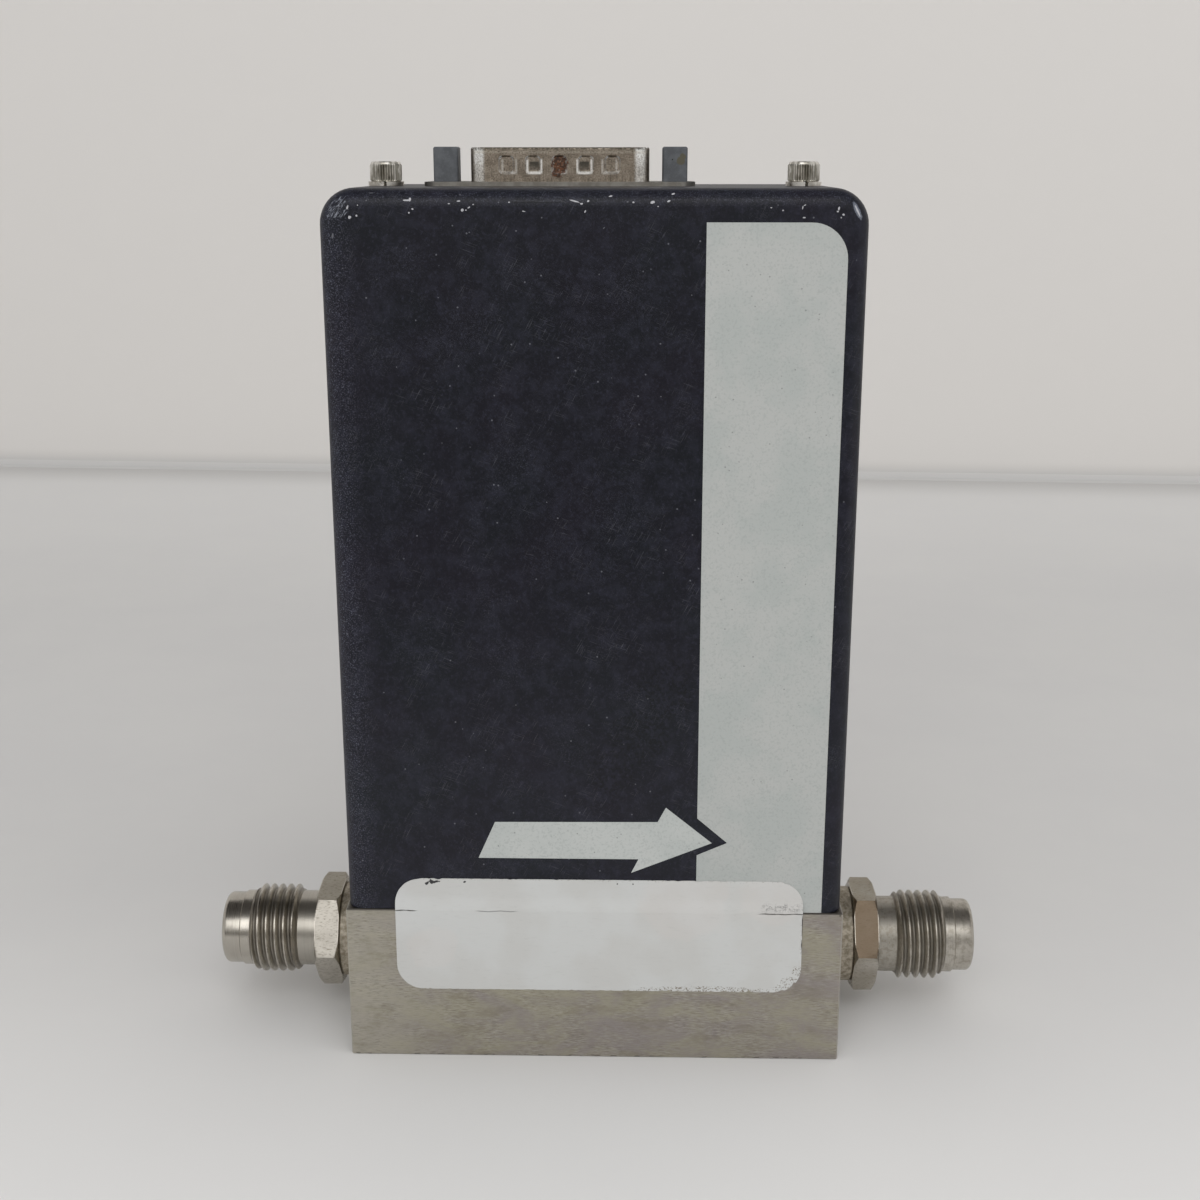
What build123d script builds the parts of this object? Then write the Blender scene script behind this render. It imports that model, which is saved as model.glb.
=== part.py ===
"""Thermal mass flow controller: stainless flow block, face-seal fittings, bypass, sensor,
solenoid control valve, boards, 15-pin connector and a painted sheet cover."""

import os

from build123d import *

os.makedirs("parts", exist_ok=True)

# ---------------------------------------------------------------- driving dimensions, mm
# X runs with the gas, Y from front to back, Z up. The origin is under the block's centre.
BLOCK_L = 76.2
BLOCK_W = 38.1
BLOCK_H = 25.0
FLOW_Z = 12.2  # height of the flow axis
EDGE_BREAK = 0.2

FITTING_END = 61.5  # from the centre to each sealing face
HEX_IN = 41.8  # inner and outer ends of the hexagon
HEX_OUT = 45.7
THREAD_R = 7.145  # 9/16-18 major radius
FLOW_R = 2.3
SPIGOT_R = 7.1
PORT_R = 7.15
PORT_DEPTH = 7.0
HEX_AF = 15.875
HEX_TURN_INLET = 4.8  # each hexagon stops where its weld left it
HEX_TURN_OUTLET = -1.0
NECK_R = 7.65

COVER_L = 75.6
COVER_W = 37.5
COVER_BOTTOM = 25.05
COVER_TOP = 132.3
COVER_T = 1.0
COVER_END_R = 5.0  # bend between the top and each end
COVER_EDGE_R = 2.4  # rolled edge round the front and the back

CONNECTOR_X = -5.2
JACK_SPACING = 33.32
POST_W = 3.65
SHELL_TOP = 137.7
FLANGE_T = 0.6
DIMPLE_DEPTH = 0.32
PIN_PITCH = 2.77
PIN_ROW = 2.84
PIN_R = 0.51

SCREW_X = (-30.9, 30.3)  # cover screws
SCREW_HEAD_R = 2.33
SCREW_HEAD_H = 2.84
WASHER_T = 0.6

BYPASS_R = 5.5  # bore of the laminar element
SENSOR_X = (-24.5, -8.5)  # sensor ports
SENSOR_MID = sum(SENSOR_X) / 2
VALVE_X = 16.0
PLUNGER_R = 4.15
TUBE_BORE_R = 4.22
TUBE_R = 5.5
LIFT_GAP = 0.35  # air gap over the plunger

BOARD_Y = 12.3  # front face of the upright board
BOARD_T = 1.6

LABEL_L = 62.4
LABEL_H = 18.5
LABEL_X = 0.75
LABEL_Z = 20.95
LABEL_R = 4.1

# planes used by several pieces
flow_plane = Plane(origin=(0, 0, FLOW_Z), x_dir=(1, 0, 0), z_dir=(0, -1, 0))
flow_axis = Axis((0, 0, FLOW_Z), (1, 0, 0))
inlet_face = Plane(origin=(-BLOCK_L / 2, 0, FLOW_Z), z_dir=(-1, 0, 0))
outlet_face = Plane(origin=(BLOCK_L / 2, 0, FLOW_Z), z_dir=(1, 0, 0))
under_face = Plane(origin=(0, 0, 0), z_dir=(0, 0, -1))
valve_plane = Plane(origin=(VALVE_X, 0, 0), x_dir=(1, 0, 0), z_dir=(0, -1, 0))
valve_axis = Axis((VALVE_X, 0, 0), (0, 0, 1))


def save(builder, name):
    """Label a finished piece and write it."""
    builder.part.label = name
    export_step(builder.part, f"parts/{name}.step")


# ---------------------------------------------------------------- flow block
with BuildPart() as base_block:
    with BuildSketch(Plane.XY):
        Rectangle(BLOCK_L, BLOCK_W)
    extrude(amount=BLOCK_H)
    chamfer(base_block.edges(), EDGE_BREAK)
    with Locations(inlet_face):
        Hole(PORT_R, depth=PORT_DEPTH)
        Hole(BYPASS_R, depth=34.0)
        Hole(FLOW_R, depth=49.9)
    with Locations(outlet_face):
        Hole(PORT_R, depth=PORT_DEPTH)
        Hole(FLOW_R, depth=24.2)
    # valve pocket, its feed and its drain, and the ring groove round it
    with Locations((VALVE_X, 0, BLOCK_H)):
        Hole(7.0, depth=8.0)
        Hole(1.6, depth=BLOCK_H - FLOW_Z)
    with Locations((VALVE_X - 5.4, 0, BLOCK_H)):
        Hole(1.2, depth=BLOCK_H - FLOW_Z)
    with BuildSketch(Plane.XY.offset(BLOCK_H)):
        with Locations((VALVE_X, 0)):
            Circle(9.4)
            Circle(7.6, mode=Mode.SUBTRACT)
    extrude(amount=-1.3, mode=Mode.SUBTRACT)
    # sensor ports with their seal pockets
    with Locations(*[(x, 0, BLOCK_H) for x in SENSOR_X]):
        Hole(0.8, depth=BLOCK_H - FLOW_Z)
        Hole(2.6, depth=1.2)
    # tapped holes in the top face
    with Locations(*[(x, 0, BLOCK_H) for x in SCREW_X]):
        Hole(1.15, depth=4.5)
    with Locations((VALVE_X, 0, BLOCK_H)):
        with GridLocations(17.6, 17.6, 2, 2):
            Hole(1.25, depth=6.0)
    with Locations((SENSOR_MID, 4.8, BLOCK_H), (SENSOR_MID, -4.8, BLOCK_H)):
        Hole(1.15, depth=5.0)
    with Locations((-21.0, 13.0, BLOCK_H), (21.0, 13.0, BLOCK_H)):
        Hole(1.15, depth=5.0)
    # two tapped holes underneath carry the instrument
    with Locations(under_face):
        with GridLocations(25.4, 0, 2, 1):
            Hole(1.8, depth=5.0)
save(base_block, "base_block")

# ---------------------------------------------------------------- end fittings
def end_fitting(hex_turn):
    """A fitting for the right-hand end, its hexagon turned from having flats on top."""
    with BuildPart() as fitting:
        with BuildSketch(Plane.YZ.offset(HEX_IN)):
            with Locations((0, FLOW_Z)):
                RegularPolygon(HEX_AF / 2, 6, major_radius=False, rotation=hex_turn)
        extrude(amount=HEX_OUT - HEX_IN)
        # both ends of the hexagon are turned off at 30 degrees
        with BuildSketch(flow_plane):
            with BuildLine():
                Polyline(
                    (HEX_IN, 0),
                    (HEX_IN, 8.1),
                    (HEX_IN + 0.55, 9.2),
                    (HEX_OUT - 0.6, 9.2),
                    (HEX_OUT, 8.0),
                    (HEX_OUT, 0),
                    close=True,
                )
            make_face()
        revolve(axis=flow_axis, mode=Mode.INTERSECT)
        with BuildSketch(flow_plane):
            with BuildLine():
                Polyline(
                    (31.5, 0),
                    (31.5, 6.6),
                    (32.0, SPIGOT_R),
                    (34.2, SPIGOT_R),
                    (34.2, 5.7),
                    (36.4, 5.7),
                    (36.4, SPIGOT_R),
                    (BLOCK_L / 2, SPIGOT_R),
                    (BLOCK_L / 2, NECK_R),
                    (HEX_IN, NECK_R),
                    (HEX_IN, 6.1),
                    (49.2, 6.1),
                    (50.1, THREAD_R),
                    (56.0, THREAD_R),
                    (56.8, 6.1),
                    (58.3, 6.1),
                    (58.5, 5.8),
                    (FITTING_END - 0.4, 5.8),
                    (FITTING_END, 5.4),
                    (FITTING_END, 4.7),
                    (FITTING_END - 0.35, 4.4),
                    (FITTING_END - 0.35, 4.0),
                    (FITTING_END - 0.05, 3.6),
                    (FITTING_END - 0.35, 3.2),
                    (FITTING_END - 0.35, 0),
                    close=True,
                )
            make_face()
        revolve(axis=flow_axis)
        with Locations(Plane(origin=(FITTING_END, 0, FLOW_Z), z_dir=(1, 0, 0))):
            Hole(FLOW_R, depth=40.0)
    return fitting


outlet_fitting = end_fitting(HEX_TURN_OUTLET)
save(outlet_fitting, "outlet_fitting")

inlet_form = end_fitting(HEX_TURN_INLET)
with BuildPart() as inlet_fitting:
    mirror(inlet_form.part, about=Plane.YZ)
save(inlet_fitting, "inlet_fitting")

with BuildPart() as port_seals:
    with BuildSketch(flow_plane):
        with Locations((-35.3, 6.42), (35.3, 6.42)):
            Circle(0.68)
    revolve(axis=flow_axis)
save(port_seals, "port_seals")

# ---------------------------------------------------------------- bypass
with BuildPart() as inlet_frit:
    with BuildSketch(flow_plane):
        with BuildLine():
            Polyline((-30.6, 0), (-30.6, 5.1), (-30.3, 5.45), (-29.4, 5.45), (-29.4, 0), close=True)
        make_face()
    revolve(axis=flow_axis)
save(inlet_frit, "inlet_frit")

with BuildPart() as laminar_element:
    with BuildSketch(flow_plane):
        with BuildLine():
            Polyline((-26.6, 0), (-26.6, 1.4), (-22.5, 5.45), (-10.5, 5.45), (-8.6, 3.4), (-8.6, 0), close=True)
        make_face()
    revolve(axis=flow_axis)
    with BuildSketch(Plane(origin=(-27.0, 0, FLOW_Z), z_dir=(1, 0, 0))):
        with PolarLocations(5.2, 14):
            Rectangle(2.0, 0.7)
    extrude(amount=19.0, mode=Mode.SUBTRACT)
save(laminar_element, "laminar_element")

# ---------------------------------------------------------------- flow sensor
with BuildPart() as sensor_base:
    with BuildSketch(Plane.XY.offset(BLOCK_H)):
        with Locations((SENSOR_MID, 0)):
            RectangleRounded(22.6, 14.0, 2.0)
    extrude(amount=8.0)
    with Locations(*[(x, 0, BLOCK_H + 8.0) for x in SENSOR_X]):
        Hole(0.5)
    with Locations((SENSOR_MID, 4.8, BLOCK_H + 8.0), (SENSOR_MID, -4.8, BLOCK_H + 8.0)):
        CounterBoreHole(1.3, 2.0, 5.5)
save(sensor_base, "sensor_base")

with BuildPart() as sensor_seals:
    for port in SENSOR_X:
        with BuildSketch(Plane(origin=(port, 0, 0), x_dir=(1, 0, 0), z_dir=(0, -1, 0))):
            with Locations((1.75, BLOCK_H - 0.6)):
                Circle(0.58)
        revolve(axis=Axis((port, 0, 0), (0, 0, 1)))
save(sensor_seals, "sensor_seals")

with BuildPart() as sensor_screws:
    with BuildSketch(Plane.XY.offset(BLOCK_H + 2.5)):
        with Locations((SENSOR_MID, 4.8), (SENSOR_MID, -4.8)):
            Circle(1.9)
    extrude(amount=2.2)
    with BuildSketch(Plane.XY.offset(BLOCK_H - 4.5)):
        with Locations((SENSOR_MID, 4.8), (SENSOR_MID, -4.8)):
            Circle(1.1)
    extrude(amount=7.0)
    with BuildSketch(Plane.XY.offset(BLOCK_H + 4.7)):
        with Locations((SENSOR_MID, 4.8), (SENSOR_MID, -4.8)):
            RegularPolygon(1.0, 6)
    extrude(amount=-1.2, mode=Mode.SUBTRACT)
save(sensor_screws, "sensor_screws")

# inverted U of capillary, its two windings on the level run
with BuildPart() as sensor_tube:
    with BuildLine() as u_path:
        FilletPolyline(
            (SENSOR_X[0], 0, BLOCK_H + 0.2),
            (SENSOR_X[0], 0, 49.0),
            (SENSOR_X[1], 0, 49.0),
            (SENSOR_X[1], 0, BLOCK_H + 0.2),
            radius=3.0,
        )
    with BuildSketch(Plane(origin=u_path.line @ 0, z_dir=u_path.line % 0)):
        Circle(0.45)
        Circle(0.3, mode=Mode.SUBTRACT)
    sweep()
save(sensor_tube, "sensor_tube")

with BuildPart() as sensor_windings:
    for start in (SENSOR_MID - 4.2, SENSOR_MID + 0.4):
        with BuildSketch(Plane(origin=(start, 0, 49.0), z_dir=(1, 0, 0))):
            Circle(0.95)
            Circle(0.47, mode=Mode.SUBTRACT)
        extrude(amount=3.8)
save(sensor_windings, "sensor_windings")

with BuildPart() as sensor_can:
    with BuildSketch(Plane.XY.offset(BLOCK_H + 8.0)):
        with Locations((SENSOR_MID, 0)):
            RectangleRounded(22.0, 13.4, 2.5)
    extrude(amount=23.0)
    fillet(sensor_can.faces().sort_by(Axis.Z)[-1].edges(), 1.5)
    offset(amount=-1.0, openings=sensor_can.faces().sort_by(Axis.Z)[0])
    # slot for the ribbon
    with BuildSketch(Plane.XZ.offset(-4.0)):
        with Locations((SENSOR_MID, 45.0)):
            Rectangle(11.0, 1.4)
    extrude(amount=-5.0, mode=Mode.SUBTRACT)
save(sensor_can, "sensor_can")

with BuildPart() as sensor_ribbon:
    with BuildSketch(Plane.YZ.offset(SENSOR_MID - 5.0)):
        with BuildLine():
            route = FilletPolyline((2.6, 45.0), (8.8, 45.0), (8.8, 61.4), radius=1.6)
            offset(route, amount=0.15, side=Side.LEFT, closed=True)
        make_face()
    extrude(amount=10.0)
save(sensor_ribbon, "sensor_ribbon")

# ---------------------------------------------------------------- control valve
with BuildPart() as valve_orifice:
    with BuildSketch(valve_plane):
        with BuildLine():
            Polyline(
                (0.5, 18.4),
                (1.6, 17.3),
                (1.6, 17.0),
                (4.5, 17.0),
                (4.5, 18.8),
                (2.2, 19.4),
                (1.4, 20.6),
                (0.5, 20.6),
                close=True,
            )
        make_face()
    revolve(axis=valve_axis)
save(valve_orifice, "valve_orifice")

with BuildPart() as valve_plunger:
    with BuildSketch(valve_plane):
        with BuildLine():
            Polyline(
                (0, 22.8),
                (2.6, 22.8),
                (2.6, 21.2),
                (3.6, 21.2),
                (PLUNGER_R, 21.8),
                (PLUNGER_R, 40.6),
                (3.8, 41.0),
                (2.6, 41.0),
                (2.6, 34.0),
                (0, 34.0),
                close=True,
            )
        make_face()
    revolve(axis=valve_axis)
    # four flats let the gas past
    with BuildSketch(Plane(origin=(VALVE_X, 0, 21.0))):
        with PolarLocations(PLUNGER_R + 0.55, 4):
            Rectangle(2.0, 1.6)
    extrude(amount=13.0, mode=Mode.SUBTRACT)
save(valve_plunger, "valve_plunger")

with BuildPart() as plunger_pad:
    with BuildSketch(Plane(origin=(VALVE_X, 0, 20.62))):
        Circle(2.58)
    extrude(amount=2.16)
save(plunger_pad, "plunger_pad")

with BuildPart() as plunger_spring:
    with BuildLine():
        Helix(pitch=1.55, height=6.2, radius=2.0, center=(VALVE_X, 0, 34.5))
    with BuildSketch(Plane(origin=(VALVE_X + 2.0, 0, 34.5), x_dir=(1, 0, 0), z_dir=(0, 1, 0.12))):
        Circle(0.3)
    sweep(is_frenet=True)
save(plunger_spring, "plunger_spring")

with BuildPart() as valve_body:
    with BuildSketch(Plane(origin=(VALVE_X, 0, BLOCK_H))):
        RectangleRounded(22.6, 22.6, 3.0)
    extrude(amount=5.0)
    with BuildSketch(Plane(origin=(VALVE_X, 0, BLOCK_H + 5.0))):
        Circle(TUBE_R)
    extrude(amount=29.0)
    with Locations((VALVE_X, 0, 59.0)):
        Hole(TUBE_BORE_R)
    with Locations((VALVE_X, 0, BLOCK_H + 5.0)):
        with GridLocations(17.6, 17.6, 2, 2):
            CounterBoreHole(1.6, 2.85, 3.2)
save(valve_body, "valve_body")

with BuildPart() as valve_seal:
    with BuildSketch(valve_plane):
        with Locations((8.5, BLOCK_H - 0.66)):
            Circle(0.64)
    revolve(axis=valve_axis)
save(valve_seal, "valve_seal")

with BuildPart() as valve_screws:
    with BuildSketch(Plane(origin=(VALVE_X, 0, BLOCK_H + 1.8))):
        with GridLocations(17.6, 17.6, 2, 2):
            Circle(2.7)
    extrude(amount=3.0)
    with BuildSketch(Plane(origin=(VALVE_X, 0, BLOCK_H - 5.0))):
        with GridLocations(17.6, 17.6, 2, 2):
            Circle(1.2)
    extrude(amount=6.8)
    with BuildSketch(Plane(origin=(VALVE_X, 0, BLOCK_H + 4.8))):
        with GridLocations(17.6, 17.6, 2, 2):
            RegularPolygon(1.44, 6)
    extrude(amount=-1.6, mode=Mode.SUBTRACT)
save(valve_screws, "valve_screws")

with BuildPart() as pole_piece:
    with BuildSketch(valve_plane):
        with BuildLine():
            Polyline(
                (0, 41.0 + LIFT_GAP),
                (4.2, 41.0 + LIFT_GAP),
                (4.2, 59.0),
                (3.0, 59.0),
                (3.0, 65.0),
                (2.5, 65.5),
                (0, 65.5),
                close=True,
            )
        make_face()
    revolve(axis=valve_axis)
save(pole_piece, "pole_piece")

with BuildPart() as coil_bobbin:
    with BuildSketch(valve_plane):
        with BuildLine():
            Polyline(
                (5.6, 31.65),
                (10.9, 31.65),
                (10.9, 32.7),
                (6.6, 32.7),
                (6.6, 56.5),
                (10.9, 56.5),
                (10.9, 57.5),
                (5.6, 57.5),
                close=True,
            )
        make_face()
    revolve(axis=valve_axis)
save(coil_bobbin, "coil_bobbin")

with BuildPart() as coil_winding:
    with BuildSketch(Plane(origin=(VALVE_X, 0, 32.75))):
        Circle(10.4)
        Circle(6.65, mode=Mode.SUBTRACT)
    extrude(amount=23.7)
save(coil_winding, "coil_winding")

with BuildPart() as coil_yoke:
    with BuildSketch(Plane.YZ.offset(VALVE_X - 9.5)):
        with BuildLine():
            FilletPolyline((7.5, 30.85), (-12.6, 30.85), (-12.6, 58.3), (7.5, 58.3), radius=2.0)
            offset(amount=0.75)
        make_face()
    extrude(amount=19.0)
    with Locations((VALVE_X, 0, 59.1)):
        Hole(TUBE_R + 0.05)
save(coil_yoke, "coil_yoke")

with BuildPart() as coil_washer:
    with BuildSketch(Plane(origin=(VALVE_X, 0, 59.1))):
        Circle(7.0)
        Circle(3.1, mode=Mode.SUBTRACT)
    extrude(amount=0.9)
save(coil_washer, "coil_washer")

with BuildPart() as coil_nut:
    with BuildSketch(Plane(origin=(VALVE_X, 0, 60.0))):
        RegularPolygon(5.0, 6, major_radius=False)
        Circle(3.03, mode=Mode.SUBTRACT)
    extrude(amount=4.2)
    chamfer(coil_nut.faces().sort_by(Axis.Z)[-1].outer_wire().edges(), 0.4)
save(coil_nut, "coil_nut")

# ---------------------------------------------------------------- boards
with BuildPart() as board_bracket:
    with BuildSketch(Plane.YZ.offset(-26.0)):
        with BuildLine():
            FilletPolyline((11.9, BLOCK_H + 0.6), (16.0, BLOCK_H + 0.6), (16.0, 44.0), radius=1.2)
            offset(amount=0.55)
        make_face()
    extrude(amount=52.0)
    with Locations((-21.0, 13.0, BLOCK_H + 1.2), (21.0, 13.0, BLOCK_H + 1.2)):
        Hole(1.3, depth=1.5)
save(board_bracket, "board_bracket")

with BuildPart() as main_board:
    with BuildSketch(Plane.XZ.offset(-BOARD_Y)):
        with Locations((0, 74.5)):
            RectangleRounded(66.0, 87.0, 1.0)
        with Locations((-21.0, 38.0), (21.0, 38.0)):
            Circle(1.6, mode=Mode.SUBTRACT)
    extrude(amount=-BOARD_T)
save(main_board, "main_board")

with BuildPart() as board_spacers:
    with BuildSketch(Plane.XZ.offset(-(BOARD_Y + BOARD_T))):
        with Locations((-21.0, 38.0), (21.0, 38.0)):
            Circle(2.5)
            Circle(1.4, mode=Mode.SUBTRACT)
    extrude(amount=-1.5)
save(board_spacers, "board_spacers")

# pan heads in front of the board, and a second pair holding the bracket down
with BuildPart() as board_screws:
    with BuildSketch(Plane.XZ.offset(-BOARD_Y)):
        with Locations((-21.0, 38.0), (21.0, 38.0)):
            Circle(2.4)
    extrude(amount=1.7)
    with BuildSketch(Plane.XZ.offset(-BOARD_Y)):
        with Locations((-21.0, 38.0), (21.0, 38.0)):
            Circle(1.3)
    extrude(amount=-3.05)
    with BuildSketch(Plane.XY.offset(BLOCK_H + 1.2)):
        with Locations((-21.0, 13.0), (21.0, 13.0)):
            Circle(1.65)
    extrude(amount=1.6)
    with BuildSketch(Plane.XY.offset(BLOCK_H + 1.2)):
        with Locations((-21.0, 13.0), (21.0, 13.0)):
            Circle(1.1)
    extrude(amount=-4.8)
save(board_screws, "board_screws")

CHIPS = ((-14.0, 84.0), (2.0, 84.0), (-14.0, 99.0))
with BuildPart() as board_chips:
    for x, z in CHIPS:
        with BuildSketch(Plane.XZ.offset(-(BOARD_Y - 0.15))):
            with Locations((x, z)):
                Rectangle(10.3, 7.4)
        extrude(amount=2.3, taper=5)
        # gull-wing legs on both long sides
        with BuildSketch(Plane.XZ.offset(-BOARD_Y)):
            with Locations((x, z)):
                with GridLocations(1.27, 8.4, 8, 2):
                    Rectangle(0.45, 2.0)
        extrude(amount=0.9)
save(board_chips, "board_chips")

with BuildPart() as board_capacitors:
    with BuildSketch(Plane.XZ.offset(-BOARD_Y)):
        with Locations((22.0, 77.0), (22.0, 88.0), (11.5, 97.0)):
            Circle(4.0)
    extrude(amount=9.5)
    fillet(board_capacitors.faces().sort_by(Axis.Y)[:3].edges(), 0.6)
save(board_capacitors, "board_capacitors")

with BuildPart() as board_resistors:
    with BuildSketch(Plane.XZ.offset(-BOARD_Y)):
        with Locations((-26.0, 72.0), (2.0, 70.5)):
            with GridLocations(2.8, 4.2, 3, 2):
                Rectangle(1.6, 3.2)
    extrude(amount=0.6)
save(board_resistors, "board_resistors")

with BuildPart() as board_regulator:
    with BuildSketch(Plane.XZ.offset(-BOARD_Y)):
        with Locations((24.5, 107.0)):
            Rectangle(10.0, 15.5)
        with Locations((24.5, 112.0)):
            Circle(1.8, mode=Mode.SUBTRACT)
    extrude(amount=1.3)
    with BuildSketch(Plane.XZ.offset(-(BOARD_Y - 1.3))):
        with Locations((24.5, 103.8)):
            Rectangle(10.0, 9.0)
    extrude(amount=3.2, taper=3)
    with BuildSketch(Plane.XZ.offset(-(BOARD_Y - 0.6))):
        with Locations((24.5, 97.3)):
            with GridLocations(2.54, 0, 3, 1):
                Rectangle(0.8, 4.6)
    extrude(amount=0.5)
save(board_regulator, "board_regulator")

# multi-turn trimmer, reached through the hole in the inlet end of the cover
TRIM_Y = 9.8
TRIM_Z = 105.3
with BuildPart() as zero_trimmer:
    with BuildSketch(Plane.XZ.offset(-BOARD_Y)):
        with Locations((-27.6, TRIM_Z - 1.1)):
            Rectangle(9.6, 6.4)
    extrude(amount=5.0)
    chamfer(zero_trimmer.edges().filter_by(Axis.Y), 0.4)
    with Locations(Plane(origin=(-32.4, TRIM_Y, TRIM_Z), z_dir=(-1, 0, 0))):
        Hole(1.2, depth=1.6)
save(zero_trimmer, "zero_trimmer")

with BuildPart() as zero_screw:
    with BuildSketch(Plane(origin=(-30.85, TRIM_Y, TRIM_Z), z_dir=(-1, 0, 0))):
        Circle(1.14)
    extrude(amount=3.4)
    with BuildSketch(Plane(origin=(-34.25, TRIM_Y, TRIM_Z), z_dir=(-1, 0, 0))):
        Rectangle(3.0, 0.5)
    extrude(amount=-0.6, mode=Mode.SUBTRACT)
save(zero_screw, "zero_screw")

with BuildPart() as lead_headers:
    with BuildSketch(Plane.XZ.offset(-BOARD_Y)):
        with Locations((SENSOR_MID, 63.4)):
            Rectangle(13.0, 6.0)
        with Locations((13.0, 70.0)):
            Rectangle(9.0, 6.0)
    extrude(amount=5.0)
    # mouth for the ribbon
    with BuildSketch(Plane.XY.offset(60.4)):
        with Locations((SENSOR_MID, 8.8)):
            Rectangle(10.4, 0.6)
    extrude(amount=1.3, mode=Mode.SUBTRACT)
    with BuildSketch(Plane.XY.offset(67.0)):
        with Locations((11.5, 9.6), (14.5, 9.6)):
            Circle(0.6)
    extrude(amount=2.0, mode=Mode.SUBTRACT)
save(lead_headers, "lead_headers")

with BuildPart() as coil_leads:
    with BuildSketch(Plane.XY.offset(57.55)):
        with Locations((11.5, 9.6), (14.5, 9.6)):
            Circle(0.5)
    extrude(amount=11.3)
save(coil_leads, "coil_leads")

with BuildPart() as link_header:
    with BuildSketch(Plane.XZ.offset(-BOARD_Y)):
        with Locations((CONNECTOR_X, 117.2)):
            Rectangle(24.0, 6.0)
    extrude(amount=3.2)
save(link_header, "link_header")

# ---------------------------------------------------------------- connector
ROW_WIDE = [(CONNECTOR_X + (i - 3.5) * PIN_PITCH, -PIN_ROW / 2) for i in range(8)]
ROW_NARROW = [(CONNECTOR_X + (i - 3.0) * PIN_PITCH, PIN_ROW / 2) for i in range(7)]
PINS = ROW_WIDE + ROW_NARROW
JACKS = [(CONNECTOR_X - JACK_SPACING / 2, 0), (CONNECTOR_X + JACK_SPACING / 2, 0)]
SHELL_W = 26.95
SHELL_D = 9.2
SHELL_R = 2.7
SHELL_T = 0.45


def d_face(inset, mode=Mode.ADD):
    """The D outline, wide side to the front, drawn in by inset."""
    lean = (SHELL_D - 2 * inset) * 0.1763
    w = SHELL_W - 2 * inset * 1.17
    y = SHELL_D / 2 - inset
    with BuildSketch(Plane.XY, mode=Mode.PRIVATE) as d:
        with BuildLine():
            Polyline(
                (-w / 2, -y),
                (w / 2, -y),
                (w / 2 - lean, y),
                (lean - w / 2, y),
                close=True,
            )
        make_face()
        fillet(d.vertices(), SHELL_R - inset)
    with Locations((CONNECTOR_X, 0)):
        add(d.sketch, mode=mode)


with BuildPart() as connector_board:
    with BuildSketch(Plane.XY.offset(120.3)):
        with Locations((CONNECTOR_X, 2.4)):
            RectangleRounded(44.0, 19.0, 1.0)
        with Locations(*PINS):
            Circle(0.6, mode=Mode.SUBTRACT)
    extrude(amount=1.6)
save(connector_board, "connector_board")

with BuildPart() as connector_shell:
    with BuildSketch(Plane.XY.offset(COVER_TOP)):
        with Locations((CONNECTOR_X, 0)):
            RectangleRounded(39.14, 12.5, 2.6)
        with Locations(*JACKS):
            Circle(1.6, mode=Mode.SUBTRACT)
    extrude(amount=FLANGE_T)
    with BuildSketch(Plane.XY.offset(COVER_TOP)):
        d_face(0)
    extrude(amount=SHELL_TOP - COVER_TOP)
    fillet(connector_shell.faces().sort_by(Axis.Z)[-1].edges(), 0.3)
    with BuildSketch(Plane.XY.offset(COVER_TOP)):
        d_face(SHELL_T)
    extrude(amount=SHELL_TOP - COVER_TOP, mode=Mode.SUBTRACT)
    # five pressed grip dimples in each long wall
    for wall_y, step in ((-SHELL_D / 2, -DIMPLE_DEPTH), (SHELL_D / 2, DIMPLE_DEPTH)):
        with BuildSketch(Plane.XZ.offset(-wall_y)):
            with Locations((CONNECTOR_X, 135.3)):
                with GridLocations(3.82, 0, 5, 1):
                    RectangleRounded(2.3, 2.6, 0.7)
        extrude(amount=step, taper=38, mode=Mode.SUBTRACT)
save(connector_shell, "connector_shell")

with BuildPart() as connector_back_shell:
    with BuildSketch(Plane.XY.offset(126.4)):
        d_face(0.1)
        d_face(SHELL_T, mode=Mode.SUBTRACT)
    extrude(amount=COVER_TOP - 126.4 - 0.05)
save(connector_back_shell, "connector_back_shell")

with BuildPart() as connector_insulator:
    with BuildSketch(Plane.XY.offset(125.2)):
        d_face(SHELL_T + 0.04)
    extrude(amount=COVER_TOP + 0.5 - 125.2)
    with BuildSketch(Plane.XY.offset(125.2)):
        with Locations(*PINS):
            Circle(PIN_R + 0.02)
    extrude(amount=8.0, mode=Mode.SUBTRACT)
save(connector_insulator, "connector_insulator")

with BuildPart() as connector_pins:
    with BuildSketch(Plane.XY.offset(119.6)):
        with Locations(*PINS):
            Circle(PIN_R)
    extrude(amount=17.7)
    fillet(connector_pins.faces().filter_by(Axis.Z).group_by(Axis.Z)[-1].edges(), 0.35)
save(connector_pins, "connector_pins")

with BuildPart() as jack_posts:
    with BuildSketch(Plane.XY.offset(COVER_TOP + FLANGE_T)):
        with Locations(*JACKS):
            RectangleRounded(POST_W, POST_W, 0.35)
    extrude(amount=SHELL_TOP - COVER_TOP - FLANGE_T + 0.1)
    chamfer(jack_posts.faces().filter_by(Axis.Z).group_by(Axis.Z)[-1].edges(), 0.2)
    with BuildSketch(Plane.XY.offset(127.9)):
        with Locations(*JACKS):
            Circle(1.42)
    extrude(amount=COVER_TOP + FLANGE_T - 127.9)
    with Locations(*[(x, y, SHELL_TOP + 0.1) for x, y in JACKS]):
        Hole(1.2, depth=5.0)
save(jack_posts, "jack_posts")

with BuildPart() as jack_nuts:
    with BuildSketch(Plane.XY.offset(COVER_TOP - COVER_T)):
        with Locations(*JACKS):
            RegularPolygon(3.18, 6, major_radius=False)
            Circle(1.44, mode=Mode.SUBTRACT)
    extrude(amount=-2.4)
save(jack_nuts, "jack_nuts")

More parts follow.
